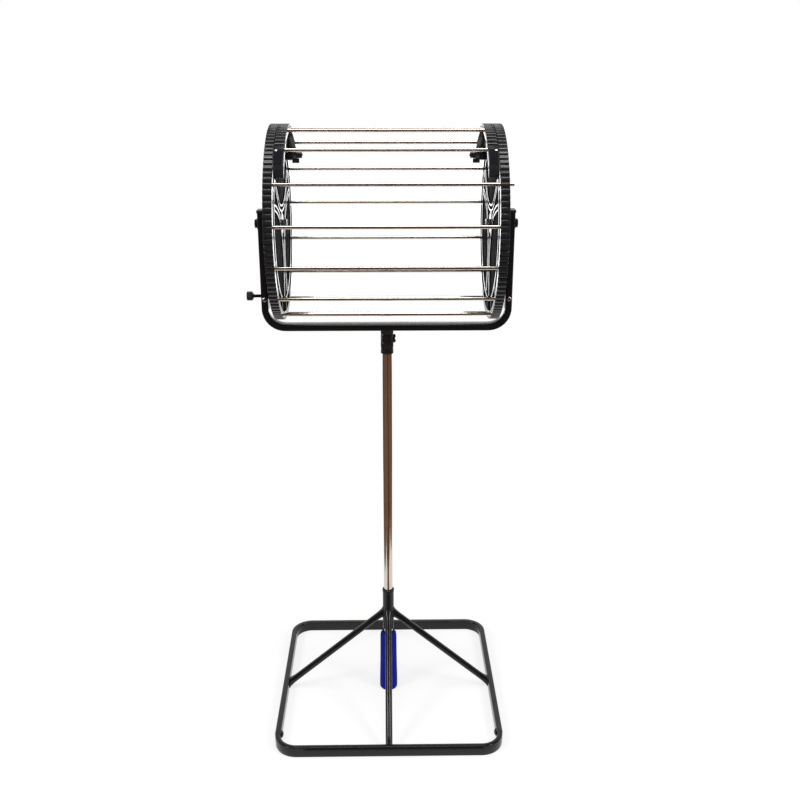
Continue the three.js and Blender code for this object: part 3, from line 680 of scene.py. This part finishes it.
# wing screw in the socket's right side, with its welded nut; the wings stand up and down
def makeWingScrew():
    sizes = {"z": 691.7, "from": 12.3, "wide": 1.9, "tall": 2.2, "steps": 16}
    centre = Vector((0, 0, sizes["z"])) * mm
    hub = turned([(0, 8.4), (2.2, 8.4), (2.5, 8.8), (2.5, 12.3), (3.5, 12.3), (3.7, 12.6), (3.4, 13.3),
                  (2.4, 13.5), (1.6, 13.2), (0, 13.1)], 32, "X", centre)
    # along the wing, out from the socket, half thickness
    stations = [(0.6, -0.2, 1.2), (1.6, 0, 1.6), (2.8, 0.2, 2.05), (4.2, 0.3, 2.2), (5.6, 0.2, 2),
                (6.8, 0, 1.4), (7.6, -0.2, 0.6)]
    lobes = []
    for way in (-1, 1):
        rings = []
        for along, out, tall in stations:
            wide = sizes["wide"] * (tall / sizes["tall"]) ** 0.5
            angles = [2 * math.pi * k / sizes["steps"] for k in range(sizes["steps"])]
            rings.append([Vector((sizes["from"] + out + tall * math.cos(a), wide * math.sin(a),
                                  sizes["z"] + way * along)) * mm for a in angles])
        lobes.append(stacked("wingLobe", rings))
    settle("socketWingScrew", joined("socketWingScrew", [hub] + lobes), trimAbs, "carrier",
           ["socket_wing_screw"])
    nut = hexagon(9, 11, 12, centre, 0.3)
    settle("socketNut", nut, powderCoat, "carrier", ["socket_nut"])
    rivets = []
    for z in (699.6, 685.9):  # two on the left of the socket's front
        rivet = turned([(0, 10.4), (1.3, 10.4), (1.25, 11), (0.9, 11.4), (0, 11.6)], 24, "X",
                       Vector((0, 0, z)) * mm)
        rivet.transform(Matrix.Rotation(math.radians(-130), 4, "Z"))
        rivets.append(rivet)
    settle("socketRivets", joined("socketRivets", rivets), zincPlate, "carrier")


makeYoke()
makeSocket()
makeWingScrew()


def makeArmTrim(word, side):
    middle = side * armMiddle
    cap = []
    for height, inset in ((901.35, 0.5), (901.6, 0.1), (902.2, 0), (904.9, 0), (905.5, 0.1), (906, 0.5),
                          (906.25, 1.3)):
        ring = roundedSection(13 - 2 * inset, 25.6 - 2 * inset, max(3 - inset, 0.8), 5)
        cap.append([Vector((middle + a, b, height)) * mm for a, b in ring])
    settle("armCap" + word.capitalize(), stacked("armCap", cap), trimAbs, "carrier",
           ["arm_cap_" + word])
    profile = [(0, -4), (2, -4), (2, -12.1), (3.8, -12.2), (3.9, -12.6), (3.6, -13.5), (2.8, -14.2),
               (1.7, -14.5), (1.3, -14.5), (1.3, -13.4), (0, -13.4)]
    screw = turned(profile, 32, "Y", Vector((middle, 0, 761)) * mm)
    settle("yokeScrew" + word.capitalize(), screw, zincPlate, "carrier", ["yoke_screw_" + word])


def makeAxleSet(word, side):
    head = hexagon(13, *span(side, 208.8, 212.3), axle)
    shank = sided(side, [(0, 160.2), (3.6, 160.2), (4, 160.8), (4, 209), (0, 209)], 32)
    settle("axleBolt" + word.capitalize(), joined("axleBolt", [head, shank]), blackSteel, "carrier",
           ["axle_bolt_" + word])
    washer = [(4.3, 207.3), (8.6, 207.3), (9, 207.6), (9, 208.2), (8.6, 208.6), (4.3, 208.6), (4.3, 207.3)]
    settle("axleWasher" + word.capitalize(), sided(side, washer, 48), blackSteel,
           "carrier", ["axle_washer_" + word])


for word, side in sides.items():
    makeArmTrim(word, side)
    makeAxleSet(word, side)
print("yoke ready")


def makeLock():
    height = 765
    centre = Vector((0, 0, height)) * mm
    flutes = {"count": 12, "radius": 7.65, "depth": 0.9, "steps": 96}
    rings = []
    for x, shrink in ((-231.3, 1.1), (-231.0, 0.5), (-230.3, 0.1), (-229.6, 0), (-223.4, 0), (-222.6, 0.2),
                      (-221.9, 0.7), (-221.7, 1.2)):
        ring = []
        for k in range(flutes["steps"]):
            angle = 2 * math.pi * k / flutes["steps"]
            dip = flutes["depth"] * (0.5 - 0.5 * math.cos(flutes["count"] * angle)) ** 1.6
            r = flutes["radius"] - shrink - dip
            ring.append(Vector((x, r * math.cos(angle), height + r * math.sin(angle))) * mm)
        rings.append(ring)
    knob = stacked("lockKnob", rings)
    boss = turned([(0, -221.8), (4.6, -221.8), (4.6, -220.2), (4.2, -219.8), (0, -219.8)], 32, "X", centre)
    settle("lockKnob", joined("lockKnob", [knob, boss]), trimAbs, "lock", ["lock_knob"])
    thread = {"turns": 48.0, "height": 0.0385, "radius": 0.00235, "ridge": 0.00042}
    wound = grow("lockThread", threadTree, material=blackSteel, **thread)
    wound.transform(Matrix.Translation(Vector((-0.2199, 0, centre.z))) @ quarterTurn)
    core = turned([(0, -222), (2.35, -222), (2.35, -182), (1.7, -180.9), (0, -180.9)], 32, "X", centre)
    nut = ringNut(10, 3.5, -195.7, -191.6, centre)
    settle("lockNut", nut, zincPlate, "carrier", ["lock_nut"])
    settle("lockStem", joined("lockStem", [wound, core]), blackSteel, "lock", ["lock_stem"])


makeLock()
print("lock ready")


treads = {"root": 152.4, "teeth": 105}
rods = {"circle": 149, "radius": 2.7, "first": 6, "step": 24}
hinge = {"y": 106, "z": 99.5}  # the door's pins, from the axle


# one tooth at the drum's front, between two x values
def toothMesh(low, high):
    pitch = 2 * math.pi / treads["teeth"]
    inset = 0.5
    # radius, and half the tooth's share of the pitch there
    flank = ((151.6, 0.44), (152.5, 0.4), (153.4, 0.34), (153.95, 0.28), (154.25, 0.21), (154.4, 0.12))
    outline = [(r, -share * pitch) for r, share in flank]
    outline += [(r, share * pitch) for r, share in reversed(flank)]
    rings = []
    for x, shrink in ((low, inset), (low + inset, 0), (high - inset, 0), (high, inset)):
        ring = []
        for r, a in outline:
            radius = r - shrink * max(0.0, (r - treads["root"]) / 2)
            ring.append(Vector((x, -radius * math.cos(a), radius * math.sin(a))) * mm)
        rings.append(ring)
    return stacked("tooth", rings, angle=25)


def arcPoints(radius, start, end, count):
    return [rim(radius, start + (end - start) * k / (count - 1)) for k in range(count)]


# outline of an opening between two radii, half as many degrees to either side
def rimWindow(middle, low, high, half):
    inner = arcPoints(low, middle - half + 1, middle + half - 1, 6)
    outer = arcPoints(high, middle + half, middle - half, 6)
    return inner + outer


# the middle line of the slot that frames a face panel, whose axis points at the given angle from the far side
def slotLine(axis):
    steps = 6
    keys = [(-86, 72), (-66, 52), (-38, 32), (0, 25), (38, 32), (66, 52), (86, 72)]
    points = []
    for i in range(len(keys) - 1):
        p0, p1, p2, p3 = (keys[max(i - 1, 0)], keys[i], keys[i + 1], keys[min(i + 2, len(keys) - 1)])
        for k in range(steps):
            t = k / steps
            point = []
            for a, b, c, d in zip(p0, p1, p2, p3):
                point.append(0.5 * (2 * b + (c - a) * t + (2 * a - 5 * b + 4 * c - d) * t * t
                                    + (3 * b - a - 3 * c + d) * t ** 3))
            points.append(tuple(point))
    points.append(keys[-1])
    turn = math.radians(90 - axis)
    cosine, sine = math.cos(turn), math.sin(turn)
    return [(along * cosine + out * sine, out * cosine - along * sine) for along, out in points]


# closed outline at a distance from an open line, with round ends
def offsetLoop(line, distance):
    left, right = [], []
    for i, (u, v) in enumerate(line):
        before, after = line[max(i - 1, 0)], line[min(i + 1, len(line) - 1)]
        du, dv = after[0] - before[0], after[1] - before[1]
        size = math.hypot(du, dv)
        du, dv = du / size, dv / size
        left.append((u - dv * distance, v + du * distance))
        right.append((u + dv * distance, v - du * distance))
    def cap(start, point):
        angle = math.atan2(start[1] - point[1], start[0] - point[0])
        return [(point[0] + distance * math.cos(angle - math.pi * k / 6),
                 point[1] + distance * math.sin(angle - math.pi * k / 6)) for k in range(1, 6)]
    return left + cap(left[-1], line[-1]) + right[::-1] + cap(right[0], line[0])


# a thin wall standing on the wheel's face along a closed side-view loop
def wallAlong(loop, low, high, thick):
    path = [Vector((0, u, axleHeight + v)) for u, v in loop]
    cut = 0.3
    shoulder = high - math.copysign(cut, high - low)
    half = thick / 2
    section = [(-half, low), (half, low), (half, shoulder), (half - cut, high), (cut - half, high),
               (-half, shoulder)]
    return swept(path, section, axisX, closed=True, name="wall")


def makeWheel(word, side):
    sizes = {"inner": 166.4, "outer": 180.3, "rimInner": 142, "webNear": 168.5, "webFar": 173, "ringLow": 117,
             "ringHigh": 125, "slot": 5, "frame": 3.2, "wall": 1.7, "steps": 240}
    inner, outer, root, r = sizes["inner"], sizes["outer"], treads["root"], sizes["rimInner"]
    pitch = 360 / treads["teeth"]
    parts = []
    band = [(r, inner + 0.5), (r + 0.5, inner), (root - 0.6, inner), (root, inner + 0.5), (root, outer - 0.5),
            (root - 0.6, outer), (r + 0.5, outer), (r, outer - 0.5), (r, inner + 0.5)]
    parts.append(sided(side, band, 210))
    low, high = span(side, inner + 0.1, outer - 0.1)
    parts.append(around("tread", toothMesh(low, high), treads["teeth"], pitch / 2, pitch, wheelAbs))
    windows = [rimWindow(rods["first"] + (i + 0.5) * rods["step"], 126.5, 141, 9) for i in range(15)]
    slots = [offsetLoop(slotLine(90 + 120 * i), sizes["slot"] / 2) for i in range(3)]
    disc = [rim(r + 0.3, 360 * k / sizes["steps"]) for k in range(sizes["steps"])]
    face = plate(disc, windows + slots, *span(side, sizes["webNear"], sizes["webFar"]), 0.5)
    settle("wheelFace" + word.capitalize(), face, panelAbs, "drum")
    for i in range(3):
        loop = offsetLoop(slotLine(90 + 120 * i), (sizes["slot"] + sizes["frame"]) / 2 + 0.05)
        parts.append(wallAlong(loop, side * (sizes["webNear"] + 0.3), side * (inner + 0.3), sizes["frame"]))
        loop = offsetLoop(slotLine(90 + 120 * i), (sizes["slot"] + sizes["wall"]) / 2 + 0.1)
        parts.append(wallAlong(loop, side * (sizes["webFar"] - 0.3), side * (sizes["webFar"] + 1.9),
                               sizes["wall"]))
    low, high = sizes["ringLow"], sizes["ringHigh"]
    ring = [(low, 169.8), (high, 169.8), (high, outer - 0.6), (high - 0.6, outer), (low + 0.6, outer),
            (low, outer - 0.6), (low, 169.8)]
    parts.append(sided(side, ring, 180))
    lip = [(120, 168.8), (125.6, 168.8), (125.6, inner + 0.6), (125.3, inner + 0.3), (120.3, inner + 0.3),
           (120, inner + 0.6), (120, 168.8)]
    parts.append(sided(side, lip, 180))
    hub = [(7, 167.6), (15.6, 167.6), (16.6, 168.2), (19, 168.4), (19, 172.8), (17.6, 174), (17, 176),
           (17, 185.6), (16.2, 186.4), (7.4, 186.4), (7, 186), (7, 167.6)]
    parts.append(sided(side, hub, 64))
    low, high = span(side, inner + 0.4, outer - 2)
    spoke = swept([Vector((0, -125.2, 0)), Vector((0, -142.4, 0))],
                  [(1.2, low), (1.2, high), (-1.2, high), (-1.2, low)], axisX, name="spoke")
    parts.append(around("spokes", spoke, 15, rods["first"], rods["step"], wheelAbs))
    low, high = span(side, sizes["webFar"] - 0.2, 184)
    gusset = swept([Vector((0, -16.5, 0)), Vector((0, -23.5, 0))],
                   [(0.9, low), (0.9, high), (-0.9, high), (-0.9, low)], axisX, name="gusset")
    parts.append(around("gussets", gusset, 6, 30, 60, wheelAbs))
    settle("wheel" + word.capitalize(), joined("wheel", parts, 30), wheelAbs, "drum",
           ["wheel_" + word])


# a rod at the drum's front, with its ends chamfered
def rodMesh(low, high):
    r, cut, steps = rods["radius"], 0.5, 12
    profile = [(0, low), (r - cut, low), (r, low + cut)]
    profile += [(r, low + cut + (high - low - 2 * cut) * k / steps) for k in range(1, steps)]
    profile += [(r, high - cut), (r - cut, high), (0, high)]
    return turned(profile, 24, "X", Vector((0, -rods["circle"] * mm, 0)), "rod")


# rods are counted from the front upwards; the second is long, and the third to sixth are the door's
def makeRods():
    first, step = rods["first"], rods["step"]
    fixed = around("drumRods", rodMesh(-179, 179), 10, first + 6 * step, step, rodSteel)
    long = around("longRod", rodMesh(-179, 187), 1, first + step, step, rodSteel)
    settle("drumRods", joined("drumRods", [fixed, long]), rodSteel, "drum",
           [f"drum_rod_{i}" for i in range(1, 12)])
    door = around("doorRods", rodMesh(-165.3, 165.3), 4, first + 2 * step, step, rodSteel)
    settle("doorRods", door, rodSteel, "door", [f"door_rod_{i}" for i in range(1, 5)])


def makeDoorArc(word, side):
    sizes = {"near": 150.3, "far": 165.8, "inner": 143.5, "end": 9,
             "barrel": 5.7, "pin": 2.7, "teeth": 22, "firstTooth": 56}
    points = [rim(144.4, 34.4), rim(147.6, 35.4), rim(151.4, 37.4), rim(153.2, 39.4)]
    points += arcPoints(153.6, 41, 52.6, 12)
    points += [rim(153.2, 53.0), rim(152.4, 53.3)]
    points += arcPoints(152.4, 54, 131, 60)
    lean = math.atan2(hinge["z"], hinge["y"])
    for i in range(17):
        angle = lean + math.radians(50 - i * 230 / 16)
        points.append((hinge["y"] + sizes["end"] * math.cos(angle),
                       hinge["z"] + sizes["end"] * math.sin(angle)))
    points += [rim(140, 131)] + arcPoints(sizes["inner"], 128.5, 35, 60)
    low, high = span(side, sizes["near"], sizes["far"])
    parts = [plate(points, [], low, high, 0.5)]
    pitch = 360 / treads["teeth"]
    parts.append(around("doorTread", toothMesh(low + 0.1, high - 0.1), sizes["teeth"],
                        sizes["firstTooth"] + pitch / 2, pitch, wheelAbs))
    centre = axle + Vector((0, hinge["y"], hinge["z"])) * mm
    pin, r = sizes["pin"], sizes["barrel"]
    barrel = [(pin, 141.4), (r - 0.8, 141.4), (r - 0.3, 141.7), (r, 142.3), (r, 151), (pin, 151),
              (pin, 141.4)]
    parts.append(sided(side, barrel, 48, centre))
    lugLow, lugHigh = span(side, 146, 158)
    lug = swept([Vector((0, hinge["y"] - 3, axleHeight + hinge["z"] - t)) for t in (6, 13)],
                [(3.6, lugLow), (4, lugLow + 0.4), (4, lugHigh - 0.4), (3.6, lugHigh), (-3.6, lugHigh),
                 (-4, lugHigh - 0.4), (-4, lugLow + 0.4), (-3.6, lugLow)], axisX)
    parts.append(lug)
    settle("doorArc" + word.capitalize(), joined("doorArc", parts, 30), wheelAbs, "door",
           ["door_arc_" + word])
    # the block's matt top, with fine ribs
    pad = [rim(152.8, 39.6)] + arcPoints(153.8, 40.6, 52.4, 12)
    pad += [rim(152.8, 52.6)] + arcPoints(152, 52.4, 39.8, 12)
    pads = [plate(pad, [], low + 0.8, high - 0.8, 0.3)]
    rib = [rim(153.7, 41)] + arcPoints(154.15, 41.4, 51.6, 10)
    rib += [rim(153.7, 52)] + arcPoints(153.4, 51.6, 41.4, 10)
    for x in range(1, 7):
        pads.append(plate(rib, [], low + 2.1 * x - 0.35, low + 2.1 * x + 0.35, 0.1))
    settle("doorPad" + word.capitalize(), joined("doorPad", pads, 30), panelAbs, "door")


# screw heads on the door's end blocks
def makeLatchScrew(word, side):
    sizes = {"x": 162.8, "angle": 51.6, "radius": 153.3}
    head = turned([(0, 0), (2.5, 0), (2.6, 0.5), (2.4, 1.1), (1.8, 1.6), (0.9, 1.8), (0.5, 1.8), (0.5, 1.2),
                   (0, 1.2)], 32)
    y, z = rim(sizes["radius"], sizes["angle"])
    turn = Matrix.Rotation(math.radians(90 - sizes["angle"]), 4, "X")
    head.transform(Matrix.Translation(axle + Vector((side * sizes["x"], y, z)) * mm) @ turn)
    settle("latchScrew" + word.capitalize(), head, zincPlate, "door")


# spacer, nut and bush on the axle; pin and wound spring in the hinge
def makeInnards(word, side):
    ending = word.capitalize()
    spacer = [(4.3, 186.7), (7.5, 186.7), (8, 187.2), (8, 195.2), (7.5, 195.7), (4.3, 195.7), (4.3, 186.7)]
    settle("axleSpacer" + ending, sided(side, spacer, 40), trimAbs, "carrier",
           ["axle_spacer_" + word])
    bush = [(4.3, 167.3), (6.4, 167.3), (6.7, 167.6), (6.7, 185.8), (6.4, 186.1), (4.3, 186.1), (4.3, 167.3)]
    settle("hubBush" + ending, sided(side, bush, 40), trimAbs, "drum",
           ["hub_bush_" + word])
    nut = ringNut(13, 4.9, *span(side, 160.5, 166.9), axle)
    settle("axleNut" + ending, nut, zincPlate, "carrier", ["axle_nut_" + word])
    centre = axle + Vector((0, hinge["y"], hinge["z"])) * mm
    pin = [(0, 140.4), (1.9, 140.4), (2.4, 141), (2.4, 179.2), (1.9, 179.7), (0, 179.7)]
    settle("hingePin" + ending, sided(side, pin, 32, centre), zincPlate, "drum",
           ["hinge_pin_" + word])
    spring = {"turns": 11.0, "height": 0.0172, "radius": 0.0036, "ridge": 0.00055}
    wound = grow("doorSpring", threadTree, material=zincPlate, **spring)
    foot = 0.1436 if side > 0 else -0.1608
    wound.transform(Matrix.Translation(Vector((foot, centre.y, centre.z))) @ quarterTurn)
    settle("doorSpring" + ending, wound, zincPlate, "door", ["door_spring_" + word])


for word, side in sides.items():
    makeWheel(word, side)
    makeDoorArc(word, side)
    makeLatchScrew(word, side)
    makeInnards(word, side)
makeRods()
print("drum and door ready")


# the frame's own small pieces keep their shape and get a finish by slot
finishes = {
    "zinc_steel": zincPlate, "black_steel": blackSteel, "trim_plastic": trimAbs, "polished_steel": rodSteel,
    "stand_paint": powderCoat, "yoke_paint": powderCoat, "wheel_plastic": wheelAbs, "grip_vinyl": gripVinyl,
}
slots = {entry["node"]: entry["material_slot"] for entry in frame["record"]["subparts"]}
for nodeName, nodeObject in frame["nodes"].items():
    coat(nodeObject, finishes[slots[nodeName]])


# one for rays from the camera, mirrors and glass, else zero
def seenRay(tree):
    path = addNode(tree, "ShaderNodeLightPath").outputs
    seen = path["Is Camera Ray"]
    for label in ("Is Glossy Ray", "Is Transmission Ray"):
        seen = addNode(tree, "ShaderNodeMath", {0: seen, 1: path[label]}, operation="MAXIMUM").outputs[0]
    return seen


# pale floor: its own lit white with the shadow under the object, fading to plain white further out
def makeFloor():
    sizes = {"half": 7, "near": 0.3, "far": 1.3, "nearWhite": 0.72}
    material, tree = newMaterial("paleFloor")
    place = addNode(tree, "ShaderNodeTexCoord").outputs["Object"]
    distance = addNode(tree, "ShaderNodeVectorMath", {0: place}, operation="LENGTH")
    spread = addNode(tree, "ShaderNodeMapRange", {
        "Value": distance.outputs["Value"], "From Min": sizes["near"], "From Max": sizes["far"],
        "To Min": sizes["nearWhite"], "To Max": 1.0}, interpolation_type="SMOOTHSTEP")
    share = addNode(tree, "ShaderNodeMath", {0: seenRay(tree), 1: spread.outputs[0]}, operation="MULTIPLY")
    paint = addNode(tree, "ShaderNodeBsdfDiffuse", {"Color": linear("#f7f7f5")})
    plain = addNode(tree, "ShaderNodeEmission", {"Color": (1, 1, 1, 1), "Strength": 1.0})
    both = addNode(tree, "ShaderNodeMixShader", {0: share.outputs[0], 1: paint.outputs[0],
                                                 2: plain.outputs[0]})
    addNode(tree, "ShaderNodeOutputMaterial", {"Surface": both.outputs[0]})
    half = sizes["half"]
    piece = addObject("floor", meshFrom("floor", [(-half, -half, 0), (half, -half, 0), (half, half, 0),
                                                  (-half, half, 0)], [[0, 1, 2, 3]]))
    coat(piece, material)


# a card that only reflections show
def makeCard(name, verts, faces, tints, scale):
    material, tree = newMaterial(name)
    clouds = {"Vector": stretched(tree, scale), "Scale": 1.5, "Detail": 2.0}
    cloud = addNode(tree, "ShaderNodeTexNoise", clouds).outputs["Fac"]
    colour = addNode(tree, "ShaderNodeMix", {"Factor": cloud, 6: linear(tints[0]), 7: linear(tints[1])},
                     data_type="RGBA")
    paint = addNode(tree, "ShaderNodeBsdfDiffuse", {"Color": colour.outputs[2]})
    addNode(tree, "ShaderNodeOutputMaterial", {"Surface": paint.outputs[0]})
    mesh = bpy.data.meshes.new(name)
    mesh.from_pydata(verts, [], faces)
    piece = addObject(name, mesh)
    piece.visible_camera = False
    piece.visible_diffuse = False
    piece.visible_shadow = False
    coat(piece, material)


# brown cards on the floor round the white sheet, a brown wall in front and a dim ceiling
def makeCards():
    sheet = {"left": -0.45, "right": 0.55, "front": -0.43, "back": 1.0, "end": 2.0}
    wall = {"radius": 3.2, "top": 3.2, "steps": 40}
    reach, front, back = wall["radius"], sheet["front"], sheet["back"]
    floorBoxes = [(-reach, -reach, reach, front), (-reach, front, sheet["left"], back),
                  (sheet["right"], front, reach, back), (-reach, back, reach, sheet["end"]),
                  (-0.15, front, 0.17, -0.22)]
    verts, faces = [], []
    for x0, y0, x1, y1 in floorBoxes:
        faces.append([len(verts) + k for k in range(4)])
        verts += [(x0, y0, 0.002), (x1, y0, 0.002), (x1, y1, 0.002), (x0, y1, 0.002)]
    makeCard("brownFloorCard", verts, faces, ("#5e473b", "#80634f"), (0.6, 3.2, 3.2))
    verts = [(x, y, 0.004) for x, y in ((0.22, -2.6), (0.75, -2.6), (0.45, front), (0.12, front))]
    makeCard("darkStripCard", verts, [[0, 1, 2, 3]], ("#33241c", "#463228"), (1, 1, 1))
    verts = []
    for k in range(wall["steps"] + 1):
        angle = math.pi + math.pi * k / wall["steps"]
        verts += [(reach * math.cos(angle), reach * math.sin(angle), z) for z in (0.002, wall["top"])]
    faces = [[2 * k, 2 * k + 1, 2 * k + 3, 2 * k + 2] for k in range(wall["steps"])]
    makeCard("brownWallCard", verts, faces, ("#4a3d35", "#6b5a4d"), (1.2, 1.2, 0.8))
    corners = ((-reach, -reach), (reach, -reach), (reach, reach), (-reach, reach))
    verts = [(x, y, wall["top"]) for x, y in corners]
    makeCard("dimCeilingCard", verts, [[0, 1, 2, 3]], ("#7d746b", "#998f85"), (0.8, 0.8, 0.8))


def makeLight(name, place, aim, size, power):
    lamp = bpy.data.lights.new(name, "AREA")
    lamp.shape = "RECTANGLE"
    lamp.size, lamp.size_y = size
    lamp.energy = power
    holder = bpy.data.objects.new(name, lamp)
    bpy.context.collection.objects.link(holder)
    holder.visible_camera = False
    holder.location = place
    holder.rotation_euler = (Vector(aim) - Vector(place)).to_track_quat("-Z", "Y").to_euler()


def makeWorld():
    world = bpy.data.worlds.new("studio")
    world.use_nodes = True
    tree = world.node_tree
    tree.nodes.clear()
    soft = addNode(tree, "ShaderNodeBackground", {"Color": linear("#f2f3f4"), "Strength": 0.5})
    shown = addNode(tree, "ShaderNodeBackground", {"Color": (1, 1, 1, 1), "Strength": 1.0})
    both = addNode(tree, "ShaderNodeMixShader", {0: seenRay(tree), 1: soft.outputs[0], 2: shown.outputs[0]})
    addNode(tree, "ShaderNodeOutputWorld", {"Surface": both.outputs[0]})
    bpy.context.scene.world = world


def makeCamera():
    view = {"place": (-0.0015, -1.5111, 1.1038), "pitch": 0.3327, "yaw": -0.0154, "focal": 928.32,
            "pixels": 800, "sensor": 36}
    lens = bpy.data.cameras.new("photoCamera")
    lens.sensor_width = view["sensor"]
    lens.lens = view["focal"] / view["pixels"] * view["sensor"]
    holder = bpy.data.objects.new("photoCamera", lens)
    bpy.context.collection.objects.link(holder)
    holder.location = view["place"]
    holder.rotation_euler = (math.pi / 2 - view["pitch"], 0, view["yaw"])
    bpy.context.scene.camera = holder


makeFloor()
makeCards()
lamps = {
    "leftSoftbox": {"place": (-2.0, -1.3, 2.3), "aim": (0, 0, 0.5), "size": (0.76, 0.76), "power": 32},
    "rightSoftbox": {"place": (2.0, -1.3, 2.3), "aim": (0, 0, 0.5), "size": (0.76, 0.76), "power": 32},
    "topSoftbox": {"place": (0, -0.2, 3), "aim": (0, -0.1, 0), "size": (1.6, 0.9), "power": 34},
    "rearSoftbox": {"place": (0, 2.9, 0.55), "aim": (0, 0, 0.9), "size": (1.6, 0.8), "power": 9},
}
for lampName, settings in lamps.items():
    makeLight(lampName, **settings)
makeWorld()
makeCamera()
bpy.context.scene.view_settings.view_transform = "Standard"
print("stage ready")
